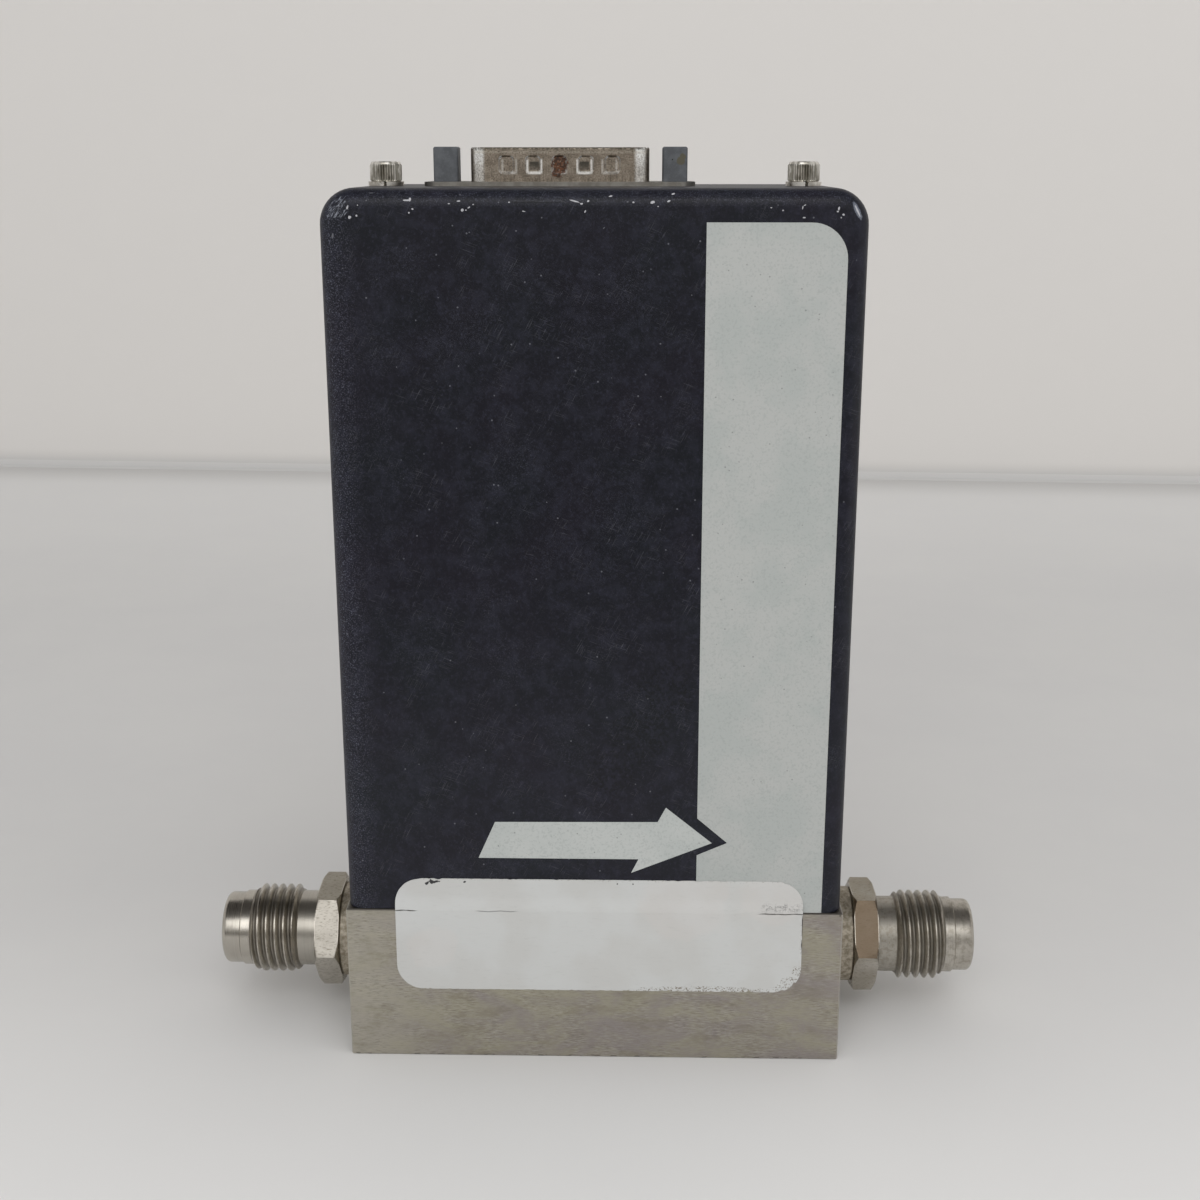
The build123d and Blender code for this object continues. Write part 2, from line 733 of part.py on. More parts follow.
# ---------------------------------------------------------------- cover and what holds it
with BuildPart() as cover_posts:
    with BuildSketch(Plane.XY.offset(BLOCK_H)):
        with Locations(*[(x, 0) for x in SCREW_X]):
            RegularPolygon(2.5, 6, major_radius=False, rotation=30)
    extrude(amount=COVER_TOP - COVER_T - BLOCK_H - 0.05)
    with BuildSketch(Plane.XY.offset(BLOCK_H)):
        with Locations(*[(x, 0) for x in SCREW_X]):
            Circle(1.1)
    extrude(amount=-4.2)
    with Locations(*[(x, 0, COVER_TOP - COVER_T - 0.05) for x in SCREW_X]):
        Hole(1.45, depth=9.0)
save(cover_posts, "cover_posts")

with BuildPart() as cover:
    with BuildSketch(Plane.XY.offset(COVER_BOTTOM)):
        Rectangle(COVER_L, COVER_W)
    extrude(amount=COVER_TOP - COVER_BOTTOM)
    fillet(cover.faces().sort_by(Axis.Z)[-1].edges().filter_by(Axis.Y), COVER_END_R)
    front_and_back = cover.faces().filter_by(Axis.Y)
    floor_z = COVER_BOTTOM + 0.01
    rim = [e for e in front_and_back.edges() if e.center().Z > floor_z]
    fillet(rim, COVER_EDGE_R)
    offset(amount=-COVER_T, openings=cover.faces().sort_by(Axis.Z)[0])
    # D cut-out and the holes for the jack studs and the cover screws
    with BuildSketch(Plane.XY.offset(COVER_TOP - 2.0)):
        d_face(-0.3)
        with Locations(*JACKS):
            Circle(1.7)
        with Locations(*[(x, 0) for x in SCREW_X]):
            Circle(1.6)
    extrude(amount=3.0, mode=Mode.SUBTRACT)
    # adjusting hole in the inlet end
    with BuildSketch(Plane.YZ.offset(-COVER_L / 2 - 1.0)):
        with Locations((TRIM_Y, TRIM_Z)):
            Circle(2.3)
    extrude(amount=3.0, mode=Mode.SUBTRACT)
save(cover, "cover")

with BuildPart() as lock_washers:
    with BuildSketch(Plane.XY.offset(COVER_TOP)):
        with Locations(*[(x, 0) for x in SCREW_X]):
            Circle(2.6)
            Circle(1.55, mode=Mode.SUBTRACT)
        with Locations(*[(x, -2.1) for x in SCREW_X]):
            Rectangle(0.4, 1.4, rotation=25, mode=Mode.SUBTRACT)
    extrude(amount=WASHER_T)
save(lock_washers, "lock_washers")

with BuildPart() as cover_screws:
    with BuildSketch(Plane.XY.offset(COVER_TOP + WASHER_T)):
        with Locations(*[(x, 0) for x in SCREW_X]):
            Circle(SCREW_HEAD_R)
    extrude(amount=SCREW_HEAD_H)
    chamfer(cover_screws.faces().filter_by(Axis.Z).group_by(Axis.Z)[-1].edges(), 0.25)
    with BuildSketch(Plane.XY.offset(COVER_TOP + WASHER_T)):
        with Locations(*[(x, 0) for x in SCREW_X]):
            Circle(1.42)
    extrude(amount=-8.6)
    with BuildSketch(Plane.XY.offset(COVER_TOP + WASHER_T + SCREW_HEAD_H)):
        with Locations(*[(x, 0) for x in SCREW_X]):
            RegularPolygon(1.19, 6, major_radius=False)
    extrude(amount=-1.5, mode=Mode.SUBTRACT)
save(cover_screws, "cover_screws")

# paper seal across the joint, stepped where the cover stands back from the block
with BuildPart() as seal_label:
    with BuildSketch(Plane.YZ.offset(LABEL_X - LABEL_L / 2)):
        with BuildLine():
            Polyline(
                (-COVER_W / 2 - 0.02, LABEL_Z + LABEL_H / 2),
                (-COVER_W / 2 - 0.17, LABEL_Z + LABEL_H / 2),
                (-COVER_W / 2 - 0.17, BLOCK_H + 0.35),
                (-BLOCK_W / 2 - 0.17, BLOCK_H - 0.1),
                (-BLOCK_W / 2 - 0.17, LABEL_Z - LABEL_H / 2),
                (-BLOCK_W / 2 - 0.02, LABEL_Z - LABEL_H / 2),
                (-BLOCK_W / 2 - 0.02, BLOCK_H - 0.1),
                (-COVER_W / 2 - 0.02, BLOCK_H + 0.2),
                close=True,
            )
        make_face()
    extrude(amount=LABEL_L)
    with BuildSketch(Plane.XZ.offset(COVER_W / 2 - 1.0)):
        with Locations((LABEL_X, LABEL_Z)):
            RectangleRounded(LABEL_L, LABEL_H, LABEL_R)
    extrude(amount=3.0, mode=Mode.INTERSECT)
    # split along the joint from both ends
    with BuildSketch(Plane.XZ.offset(COVER_W / 2 - 1.0)):
        with BuildLine():
            Polyline((32.5, 25.2), (32.5, 24.75), (24.6, 24.85), (24.6, 24.95), close=True)
        make_face()
        with BuildLine():
            Polyline((-31.0, 24.75), (-31.0, 25.15), (-27.2, 24.95), (-27.2, 24.87), close=True)
        make_face()
    extrude(amount=3.0, mode=Mode.SUBTRACT)
save(seal_label, "seal_label")
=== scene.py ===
"""Finishes, print, wear, threads, studio and camera of a thermal mass flow controller."""
import math

import bmesh
import bpy
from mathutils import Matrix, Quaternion, Vector, noise


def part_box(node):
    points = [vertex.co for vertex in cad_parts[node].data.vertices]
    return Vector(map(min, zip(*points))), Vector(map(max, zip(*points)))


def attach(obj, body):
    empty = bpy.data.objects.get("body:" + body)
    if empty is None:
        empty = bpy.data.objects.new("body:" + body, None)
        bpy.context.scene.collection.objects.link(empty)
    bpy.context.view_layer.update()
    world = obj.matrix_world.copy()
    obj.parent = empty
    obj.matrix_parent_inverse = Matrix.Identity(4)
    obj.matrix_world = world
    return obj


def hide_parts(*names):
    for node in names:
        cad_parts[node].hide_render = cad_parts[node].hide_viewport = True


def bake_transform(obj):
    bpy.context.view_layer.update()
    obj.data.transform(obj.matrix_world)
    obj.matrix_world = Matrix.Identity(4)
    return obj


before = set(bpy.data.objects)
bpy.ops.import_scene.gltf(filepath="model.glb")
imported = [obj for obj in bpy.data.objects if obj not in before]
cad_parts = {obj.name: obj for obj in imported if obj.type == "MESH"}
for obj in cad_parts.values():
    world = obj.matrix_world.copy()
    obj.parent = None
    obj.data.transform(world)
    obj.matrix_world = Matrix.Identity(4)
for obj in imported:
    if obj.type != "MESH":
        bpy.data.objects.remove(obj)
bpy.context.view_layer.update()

MM = 0.001

# ---------------------------------------------------------------- sizes, mm, from the frame


def box_mm(node):
    """Lowest and highest corner of a node, in millimetres."""
    low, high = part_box(node)
    return low / MM, high / MM


BLOCK_HIGH = box_mm("base_block")[1]
COVER_LOW = box_mm("cover")[0]
LABEL_LOW, LABEL_HIGH = box_mm("seal_label")
OUTLET_LOW, OUTLET_HIGH = box_mm("outlet_fitting")
SCREWS_LOW, SCREWS_HIGH = box_mm("cover_screws")
SHELL_LOW, SHELL_HIGH = box_mm("connector_shell")
POSTS_HIGH = box_mm("jack_posts")[1]

FLOW_Z = (OUTLET_LOW.z + OUTLET_HIGH.z) / 2
FITTING_END = OUTLET_HIGH.x
COVER_FRONT = COVER_LOW.y
SHELL_X = (SHELL_LOW.x + SHELL_HIGH.x) / 2
DIMPLE_PITCH = 3.6
DIMPLE_Z = 135.3
HEAD_R = 2.33  # of the cap screws
# how far out along x the hexagon and the thread of a fitting start and end
HEX_IN, HEX_OUT = 41.8, 45.7
THREAD_IN, THREAD_OUT = 48.9, 56.8


# ---------------------------------------------------------------- shader maths
class Signal:
    """A socket of a finish. Arithmetic on it adds Math nodes."""

    def __init__(self, finish, socket):
        self.finish = finish
        self.socket = socket

    def maths(self, operation, first, second):
        return self.finish.node("ShaderNodeMath", {"operation": operation}, {0: first, 1: second})

    def __add__(self, other):
        return self.maths("ADD", self, other)

    def __radd__(self, other):
        return self.maths("ADD", other, self)

    def __sub__(self, other):
        return self.maths("SUBTRACT", self, other)

    def __rsub__(self, other):
        return self.maths("SUBTRACT", other, self)

    def __mul__(self, other):
        return self.maths("MULTIPLY", self, other)

    def __rmul__(self, other):
        return self.maths("MULTIPLY", other, self)

    def __truediv__(self, other):
        return self.maths("DIVIDE", self, other)

    def __pow__(self, other):
        return self.maths("POWER", self, other)

    def __abs__(self):
        return self.maths("ABSOLUTE", self, 0.0)

    def least(self, other):
        return self.maths("MINIMUM", self, other)

    def most(self, other):
        return self.maths("MAXIMUM", self, other)

    def ramp(self, low, high, start, end):
        sockets = {0: self, 1: low, 2: high, 3: start, 4: end}
        return self.finish.node("ShaderNodeMapRange", {"interpolation_type": "SMOOTHSTEP"}, sockets)

    def rise(self, low, high):
        """0 below low, 1 above high."""
        return self.ramp(low, high, 0.0, 1.0)

    def fall(self, low, high):
        """1 below low, 0 above high."""
        return self.ramp(low, high, 1.0, 0.0)

    def band(self, low, high, soft):
        """1 between low and high, with soft ends."""
        return self.rise(low - soft, low + soft) * self.fall(high - soft, high + soft)


class Wiring:
    """A node tree, filled by the node method alone."""

    def __init__(self, owner):
        owner.use_nodes = True
        self.tree = owner.node_tree
        self.tree.nodes.clear()

    def node(self, kind, settings=None, sockets=None, output=0):
        """Add a node: its settings first, then the values or links of its sockets."""
        made = self.tree.nodes.new(kind)
        for key, value in (settings or {}).items():
            setattr(made, key, value)
        for key, value in (sockets or {}).items():
            if isinstance(value, Signal):
                self.tree.links.new(value.socket, made.inputs[key])
            else:
                made.inputs[key].default_value = value
        return Signal(self, made.outputs[output]) if made.outputs else None


class Finish(Wiring):
    """A procedural material. Its positions and sizes are in millimetres."""

    def __init__(self, name):
        self.material = bpy.data.materials.new(name)
        super().__init__(self.material)
        local = self.node("ShaderNodeTexCoord", output="Object")
        self.place = self.node("ShaderNodeVectorMath", {"operation": "SCALE"}, {0: local, "Scale": 1 / MM})
        self.x, self.y, self.z = self.parts(self.place)

    def parts(self, vector):
        split = self.node("ShaderNodeSeparateXYZ", sockets={0: vector}).socket.node
        return [Signal(self, socket) for socket in split.outputs]

    def vector(self, x, y, z):
        return self.node("ShaderNodeCombineXYZ", sockets={0: x, 1: y, 2: z})

    def stretch(self, x, y, z):
        """The place, each axis multiplied."""
        return self.node("ShaderNodeVectorMath", {"operation": "MULTIPLY"}, {0: self.place, 1: (x, y, z)})

    def frame_at(self, x, z, long, short, lean):
        """The place seen from an ellipse on the X-Z plane: its edge is 1 away from its centre."""
        sockets = {"Vector": self.vector(self.x, 0.0, self.z), "Location": (x, 0.0, z)}
        sockets.update({"Rotation": (0.0, -math.radians(lean), 0.0), "Scale": (long, 1.0, short)})
        return self.node("ShaderNodeMapping", {"vector_type": "TEXTURE"}, sockets)

    def noise(self, size, detail=2.0, rough=0.5, at=None, twist=0.0):
        sockets = {"Vector": at or self.place, "Scale": 1 / size, "Detail": detail}
        sockets.update({"Roughness": rough, "Distortion": twist})
        return self.node("ShaderNodeTexNoise", sockets=sockets)

    def cells(self, size, at=None, feature="F1"):
        sockets = {"Vector": at or self.place, "Scale": 1 / size}
        return self.node("ShaderNodeTexVoronoi", {"feature": feature}, sockets, "Distance")

    def blend(self, mask, below, above):
        """A colour below covered by the one above where the mask is 1."""
        return self.node("ShaderNodeMix", {"data_type": "RGBA"}, {0: mask, 6: below, 7: above}, 2)

    def facing(self):
        """The parts of the surface's normal along the axes of the part, -1 to 1."""
        return self.parts(self.node("ShaderNodeTexCoord", output="Normal"))

    def spots(self, marks, jag, jag_size):
        """Ragged marks on the X-Z plane: x, z and radius, or x, z, two half-lengths and lean."""
        nearest = None
        for x, z, long, *rest in marks:
            short, lean = rest or (long, 0.0)
            here = self.frame_at(x, z, long, short, lean)
            reach = self.node("ShaderNodeVectorMath", {"operation": "LENGTH"}, {0: here}, "Value")
            nearest = reach if nearest is None else nearest.least(reach)
        ragged = nearest + (self.noise(jag_size, 3.0) - 0.5) * jag
        return ragged.fall(0.8, 1.05)

    def relief(self, height, depth, under=None):
        """A bump of a depth in millimetres, over another one."""
        sockets = {"Strength": 1.0, "Distance": depth * MM, "Height": height}
        if under is not None:
            sockets["Normal"] = under
        return self.node("ShaderNodeBump", sockets=sockets)

    def surface(self, **sockets):
        """Close the material with a Principled shader. Socket names have _ for a space."""
        named = {name.replace("_", " "): value for name, value in sockets.items()}
        shader = self.node("ShaderNodeBsdfPrincipled", sockets=named)
        self.node("ShaderNodeOutputMaterial", sockets={"Surface": shader})
        return self.material


def paint(red, green, blue):
    """A colour in screen steps of 0 to 255, as the shader's linear values."""
    steps = [channel / 255 for channel in (red, green, blue)]
    linear = [s / 12.92 if s <= 0.04045 else ((s + 0.055) / 1.055) ** 2.4 for s in steps]
    return (*linear, 1.0)


# ---------------------------------------------------------------- finishes of the outside
# chips in the cover's paint along its front top edge: x, z, half-length, half-width, lean
EDGE_CHIPS = (
    (-33.5, 129.7, 0.32, 0.14, 70), (-33.25, 128.4, 0.25, 0.21, 30), (-32.3, 128.6, 0.15, 0.14, 0),
    (-32.1, 130.0, 0.09), (-25.4, 130.65, 0.55, 0.12, 0), (-24.95, 130.75, 0.26, 0.18, 70),
    (-24.6, 129.5, 0.15, 0.12, 0), (-25.1, 129.0, 0.14, 0.12, 0), (-19.6, 130.2, 0.16, 0.08, 0),
    (-18.3, 130.55, 0.26, 0.10, 0), (-17.8, 129.35, 0.22, 0.20, 45), (-17.3, 129.35, 0.10),
    (-16.9, 129.7, 0.20, 0.09, 30), (-16.3, 130.1, 0.12, 0.09, 20), (-11.4, 130.4, 0.13, 0.10, 0),
    (-9.45, 129.2, 0.24, 0.07, -10), (-2.5, 130.55, 0.75, 0.11, -15), (-1.55, 130.2, 0.22, 0.12, 0),
    (-0.65, 130.55, 0.17, 0.13, 40), (-1.05, 129.2, 0.20, 0.10, 70), (2.4, 131.2, 0.28, 0.09, 10),
    (5.5, 130.4, 0.15, 0.12, 0), (8.1, 130.4, 0.32, 0.19, 15), (8.85, 129.85, 0.09),
    (10.3, 130.55, 0.24, 0.13, 25), (10.9, 131.5, 0.26, 0.11, 15), (24.2, 129.7, 0.13, 0.08, 0),
    (25.8, 129.35, 0.12, 0.10, 0), (28.75, 130.05, 0.18, 0.07, 30), (28.45, 129.7, 0.26, 0.08, 80),
    (28.7, 128.4, 0.20, 0.10, 0), (33.35, 129.6, 0.26, 0.14, 80), (33.2, 129.2, 0.16, 0.12, 0),
    (34.0, 128.8, 0.17, 0.15, 0), (33.7, 128.4, 0.10),
)
# fainter nicks and specks round them
FAINT_NICKS = (
    (-30.9, 130.6, 0.10), (-30.3, 131.6, 0.35, 0.06, 0), (4.7, 130.45, 0.13, 0.10, 0), (25.1, 130.05, 0.09),
    (1.5, 127.0, 0.20, 0.07, 45), (-10.5, 126.6, 0.12), (-35.7, 125.9, 0.40, 0.15, 80),
    (-19.2, 127.3, 0.12), (-16.9, 126.4, 0.10), (-25.6, 124.3, 0.10), (-21.4, 117.6, 0.09),
    (6.9, 121.2, 0.10), (13.6, 118.0, 0.09), (-27.5, 108.0, 0.09), (9.5, 104.0, 0.09), (-31.0, 60.0, 0.10),
)

# marks on the front: the rubbed left corner, the scuff on the right one and the bare metal in it, fingermarks
RUBBED = ((-35.1, 129.6, 1.9, 0.9, 50), (-34.2, 128.8, 1.0, 0.4, 40))
SCUFF = ((35.9, 129.3, 1.45, 0.38, -63),)
SCUFF_BARE = ((35.9, 129.3, 0.9, 0.13, -63),)
FINGERMARKS = ((10.8, 60.5, 5.0), (6.5, 53.5, 5.0), (2.5, 48.0, 4.0))
GOUGE_START, GOUGE_END, GOUGE_Z = -11.2, -4.5, 130.40


def cover_paint():
    """Baked satin enamel, blue-black, chipped along the top and rubbed at both corners."""
    f = Finish("cover_paint_finish")
    front = f.y.fall(-14.0, -12.0)
    cloud = f.noise(17, 3.0)
    colour = f.blend(cloud.rise(0.30, 0.70), paint(21, 19, 29), paint(17, 20, 27))
    # a painted reflection: the cover lighter towards the bottom, as if mirroring the pale floor
    low = (f.z - COVER_LOW.z).fall(10, 70)
    colour = f.blend(low * 0.12, colour, paint(27, 31, 38))
    grain = f.noise(0.42, 2.0, 0.6)
    colour = f.blend(grain.rise(0.50, 0.74) * 0.60, colour, paint(39, 40, 53))
    handled = f.noise(2.0, 5.0, 0.68).rise(0.44, 0.66)
    colour = f.blend(handled * 0.28, colour, paint(45, 46, 60))
    # a dry haze of fine dust, thicker along the top edge; down the left edge the same speckle, stronger, is a
    # painted sheen on the rounded edge
    dust_and_sheen = f.noise(0.17, 2.0, 0.7).rise(0.52, 0.68)
    left = f.x.fall(COVER_LOW.x + 1.0, COVER_LOW.x + 6.5) * f.y.fall(-17.0, -8.0)
    high = f.z.rise(129.2, 131.0)
    patches = f.noise(9, 4.0, 0.6).rise(0.46, 0.66)
    colour = f.blend(dust_and_sheen * (patches * 0.18).most(left * 0.75).most(high * 0.40), colour, paint(98, 100, 114))
    specks = f.cells(2.0).fall(0.04, 0.08) * f.noise(7).rise(0.44, 0.52)
    nicks = f.spots(FAINT_NICKS, 0.8, 0.15) * front
    colour = f.blend((specks * 0.7).most(nicks * 0.7), colour, paint(104, 105, 112))
    # hair scratches, most of them leaning one way
    for x, lean, amount in ((-15.0, 62, 0.40), (10.0, -20, 0.30)):
        drawn = f.noise(1.0, 2.0, 0.5, at=f.frame_at(x, 90.0, 3.2, 0.10, lean))
        thin = drawn.rise(0.63, 0.67) * f.noise(5).rise(0.50, 0.62) * front
        colour = f.blend(thin * amount, colour, paint(92, 92, 100))
    # a print of mottled dark fingermarks low on the front
    smear = f.spots(FINGERMARKS, 0.5, 5.0) * front
    mottle = f.noise(0.55, 1.0).rise(0.50, 0.60)
    colour = f.blend(smear * mottle * 0.55, colour, paint(12, 13, 16))
    # corners rubbed in fine strokes, and one long scuff
    strokes = f.noise(1.0, 3.0, 0.7, at=f.frame_at(-34.9, 129.2, 1.1, 0.15, 50)).rise(0.50, 0.60)
    rubbed = f.spots(RUBBED, 1.1, 0.5) * front
    colour = f.blend(strokes * rubbed * 0.7, colour, paint(140, 144, 154))
    scuff = f.spots(SCUFF, 0.6, 0.3) * front
    colour = f.blend(scuff * 0.75, colour, paint(112, 117, 128))
    # a gouge along the edge: a painted shadow line, its upper lip a pale painted highlight
    along = f.x.band(GOUGE_START, GOUGE_END, 0.4) * front
    height = f.z - GOUGE_Z + (f.noise(1.6, 2.0) - 0.5) * 0.25
    colour = f.blend(along * height.band(0.12, 0.22, 0.03) * 0.14, colour, paint(96, 96, 102))
    colour = f.blend(along * height.band(-0.06, 0.06, 0.03) * 0.60, colour, paint(8, 8, 10))
    chips = f.spots(EDGE_CHIPS, 1.0, 0.12).most(f.spots(SCUFF_BARE, 0.6, 0.2)) * front
    colour = f.blend(chips * 0.92, colour, paint(178, 178, 182))
    rough = 0.50 + (grain - 0.5) * 0.25 + dust_and_sheen * 0.10 - smear * mottle * 0.10
    texture = f.relief(f.noise(0.30, 2.0, 0.55) + handled * 0.5, 0.022)
    texture = f.relief(1 - chips, 0.04, texture)
    return f.surface(
        Base_Color=colour,
        Roughness=rough,
        Specular_IOR_Level=0.16,
        Coat_Weight=0.24,
        Coat_Roughness=0.32,
        Normal=texture,
    )


def silver_ink(name, light, dark):
    """Screen-printed silver grey, matt, with fine dark pinholes."""
    f = Finish(name)
    colour = f.blend(f.noise(7, 4.0, 0.6).rise(0.38, 0.62), paint(*light), paint(*dark))
    grain = f.noise(0.30, 2.0, 0.6)
    colour = f.blend(grain.rise(0.50, 0.68) * 0.36, colour, paint(142, 147, 145))
    pits = f.cells(1.3).fall(0.06, 0.12) * f.noise(4).rise(0.46, 0.54)
    colour = f.blend(pits * 0.65, colour, paint(112, 114, 112))
    rough = 0.44 + (grain - 0.5) * 0.3
    return f.surface(Base_Color=colour, Roughness=rough, Specular_IOR_Level=0.40, Normal=f.relief(grain, 0.008))


def label_paper():
    """Coated paper seal: off-white, creased, its print space bare, its edges crumbling."""
    f = Finish("label_paper_finish")
    cloud = f.noise(9, 3.0)
    colour = f.blend(cloud.rise(0.40, 0.62), paint(195, 196, 194), paint(191, 191, 188))
    warm = f.spots(((14.0, 27.0, 7.0), (27.0, 27.5, 5.0), (-25.0, 19.0, 4.0)), 0.8, 4.0)
    colour = f.blend(warm * 0.22, colour, paint(202, 195, 190))
    fibre = f.noise(0.5, 3.0, 0.6, at=f.stretch(0.35, 1, 1.6))
    colour = f.blend(fibre.rise(0.55, 0.75) * 0.20, colour, paint(170, 171, 168))
    # crumbled corner at the lower right
    worn = ((30.2, 13.0, 1.5), (28.6, 12.2, 0.9), (31.4, 15.4, 0.9), (17.0, 11.9, 11.0, 0.75, 0))
    corner = f.spots(worn, 0.9, 0.8)
    crumbs = f.noise(0.27, 2.0, 0.7).rise(0.53, 0.60)
    colour = f.blend(crumbs * corner * 0.92, colour, paint(108, 97, 80))
    # flakes lifted over the split at the right
    flaky = f.x.band(25.8, 31.4, 0.6) * f.z.band(25.3, 26.5, 0.35)
    flake = f.cells(0.28, feature="DISTANCE_TO_EDGE").fall(0.03, 0.11) * f.noise(0.6).rise(0.42, 0.56)
    colour = f.blend(flaky * flake * 0.60, colour, paint(142, 142, 138))
    # painted shade along the top and right edges, broken up by noise
    top = (LABEL_HIGH.z - f.z).fall(0.10, 0.45) * f.noise(0.30, 2.0).rise(0.58, 0.64)
    right = (LABEL_HIGH.x - f.x).fall(0.10, 0.50) * f.noise(0.36, 2.0).rise(0.56, 0.63)
    colour = f.blend(top.most(right) * 0.55, colour, paint(148, 147, 142))
    # torn flecks with dark adhesive showing
    flecks = ((-25.5, 29.45, 0.50, 0.26, 25), (-24.8, 29.65, 0.44, 0.32, -30), (-24.0, 29.7, 0.48, 0.17, 10))
    torn = f.spots(flecks, 2.6, 0.28).most(f.spots(((-19.7, 29.7, 0.24, 0.16, 30),), 0.6, 0.3))
    torn = torn.most(f.spots(((3.6, 29.6, 0.12), (6.0, 29.6, 0.12)), 0.6, 0.3))
    colour = f.blend(torn * 0.96, colour, paint(24, 24, 27))
    # hair crease pressed into the joint under the paper, its line painted darker as shade
    wave = (f.noise(3.0, 2.0, at=f.vector(f.x, 0.0, 0.0)) - 0.5) * 0.5
    crease = abs(f.z - 24.97 - wave).fall(0.03, 0.10) * f.x.band(-17.75, -11.9, 0.6)
    colour = f.blend(crease * 0.7, colour, paint(120, 120, 120))
    rough = 0.42 + (fibre - 0.5) * 0.2 + crumbs * corner * 0.3
    texture = f.relief(fibre, 0.012)
    texture = f.relief(1 - crease.most(flaky * flake), 0.06, texture)
    return f.surface(Base_Color=colour, Roughness=rough, Specular_IOR_Level=0.40, Normal=texture)


def stainless_block():
    """Stainless bar, its faces brushed in short strokes, clouded by handling."""
    f = Finish("stainless_block_finish")
    across, front, up = (abs(part) for part in f.facing())
    ends = across.rise(0.6, 0.8)
    along = f.node("ShaderNodeMix", {"data_type": "VECTOR"},
                   {0: ends, 4: f.stretch(0.34, 2.6, 2.6), 5: f.stretch(2.6, 0.34, 2.6)}, 1)
    brushed = f.noise(0.42, 4.0, 0.66, at=along)
    drift = f.stretch(0.4, 1.0, 1.0)
    cloud = f.noise(5, 5.0, 0.7, at=drift, twist=0.6)
    colour = f.blend(cloud.rise(0.34, 0.66), paint(178, 173, 156), paint(166, 159, 156))
    colour = f.blend(f.x.fall(-38.0, -20.0) * 0.6, colour, paint(196, 192, 178))
    worked = f.noise(4.5, 3.0).rise(0.40, 0.62)
    colour = f.blend(brushed.rise(0.48, 0.66) * (0.22 + worked * 0.46), colour, paint(198, 194, 184))
    colour = f.blend(brushed.fall(0.36, 0.50) * (0.26 + worked * 0.40), colour, paint(138, 133, 125))
    stain = f.noise(2.6, 5.0, 0.7, at=drift).rise(0.48, 0.68)
    colour = f.blend(stain * 0.34, colour, paint(148, 141, 122))
    pits = f.cells(3.1).fall(0.03, 0.06) * f.noise(6).rise(0.44, 0.55)
    colour = f.blend(pits * 0.7, colour, paint(78, 72, 66))
    # the machined edges catch the light, the lower one is nicked
    rim = (1 - front.most(across).most(up)).rise(0.12, 0.22)
    colour = f.blend(rim * 0.35, colour, paint(204, 200, 193))
    nicks = f.z.fall(0.15, 0.50) * f.noise(0.9, 3.0, at=f.stretch(0.6, 1, 1)).rise(0.56, 0.62)
    joint = (BLOCK_HIGH.z - f.z).fall(0.06, 0.24)
    colour = f.blend((nicks * 0.6).most(joint * 0.75), colour, paint(62, 57, 52))
    rough = 0.36 + brushed * 0.22 + stain * 0.08 - rim * 0.08
    return f.surface(Base_Color=colour, Metallic=1.0, Roughness=rough, Normal=f.relief(brushed, 0.010))


def stainless_turned():
    """Turned stainless: tool rings, scratches on the hexagon, a bronze tint from welding."""
    f = Finish("stainless_turned_finish")
    radius = (f.y * f.y + (f.z - FLOW_Z) * (f.z - FLOW_Z)) ** 0.5
    reach = abs(f.x)
    upward = f.facing()[2]
    rings = f.noise(0.16, 3.0, 0.6, at=f.vector(f.x, radius, 0.0))
    on_hex = reach.band(HEX_IN + 0.1, HEX_OUT - 0.1, 0.05)
    scratch = f.noise(0.30, 3.0, 0.6, at=f.stretch(0.5, 1.2, 2.2), twist=0.5)
    cloud = f.noise(4.0, 3.0)
    colour = f.blend(cloud.rise(0.35, 0.65), paint(201, 196, 187), paint(187, 182, 173))
    colour = f.blend(rings.rise(0.50, 0.72) * (1 - on_hex) * 0.40, colour, paint(150, 146, 138))
    colour = f.blend(scratch.rise(0.52, 0.66) * on_hex * 0.65, colour, paint(128, 120, 104))
    # painted shade darkens the hexagon's upper flats; the turned waist behind the thread is darkened less
    colour = f.blend(on_hex * upward.rise(0.75, 0.90) * 0.55, colour, paint(126, 120, 104))
    waist = reach.band(HEX_OUT + 0.2, THREAD_IN, 0.05)
    colour = f.blend(waist * 0.38, colour, paint(154, 150, 141))
    # straw heat tint on the outlet's hexagon and neck, bronze on one flat
    heat = f.x.band(BLOCK_HIGH.x + 0.1, HEX_OUT, 0.2)
    colour = f.blend(heat * f.noise(3.2, 3.0).rise(0.30, 0.62) * 0.30, colour, paint(150, 138, 116))
    flat = upward.band(0.35, 0.70, 0.05) * f.y.fall(-3.0, -2.0)
    flat = flat * f.x.band(HEX_IN + 0.1, HEX_OUT - 0.1, 0.1)
    colour = f.blend(flat * 0.92, colour, paint(108, 93, 76))
    # painted shade with grime in the thread roots, and a mottle of grime and painted reflections on the neck in
    # the corner by the block
    roots = radius.fall(6.25, 6.80) * reach.band(THREAD_IN + 0.1, THREAD_OUT, 0.15)
    colour = f.blend(roots * 0.58, colour, paint(76, 70, 62))
    neck = reach.fall(HEX_IN - 0.2, HEX_IN)
    blotch = f.noise(0.8, 4.0, 0.7)
    colour = f.blend(neck, colour, f.blend(blotch.rise(0.34, 0.66), paint(208, 200, 186), paint(158, 149, 132)))
    # the outlet and both threads are the more handled
    used = f.x.rise(HEX_OUT, HEX_OUT + 0.2)
    handled = (used * 0.45).most(reach.band(THREAD_IN, THREAD_OUT + 0.1, 0.1) * 0.38)
    colour = f.blend(handled * blotch.rise(0.46, 0.62), colour, paint(142, 134, 120))
    rough = 0.20 + rings * 0.12 + handled * blotch * 0.12 + on_hex * (0.02 + scratch * 0.20)
    rough = rough + roots * 0.15 + neck * 0.36 + waist * 0.08 + used * 0.10
    texture = f.relief(rings * (1 - on_hex) + scratch * on_hex * 2.2 + neck * blotch * 2.0, 0.006)
    return f.surface(Base_Color=colour, Metallic=1.0, Roughness=rough, Normal=texture)


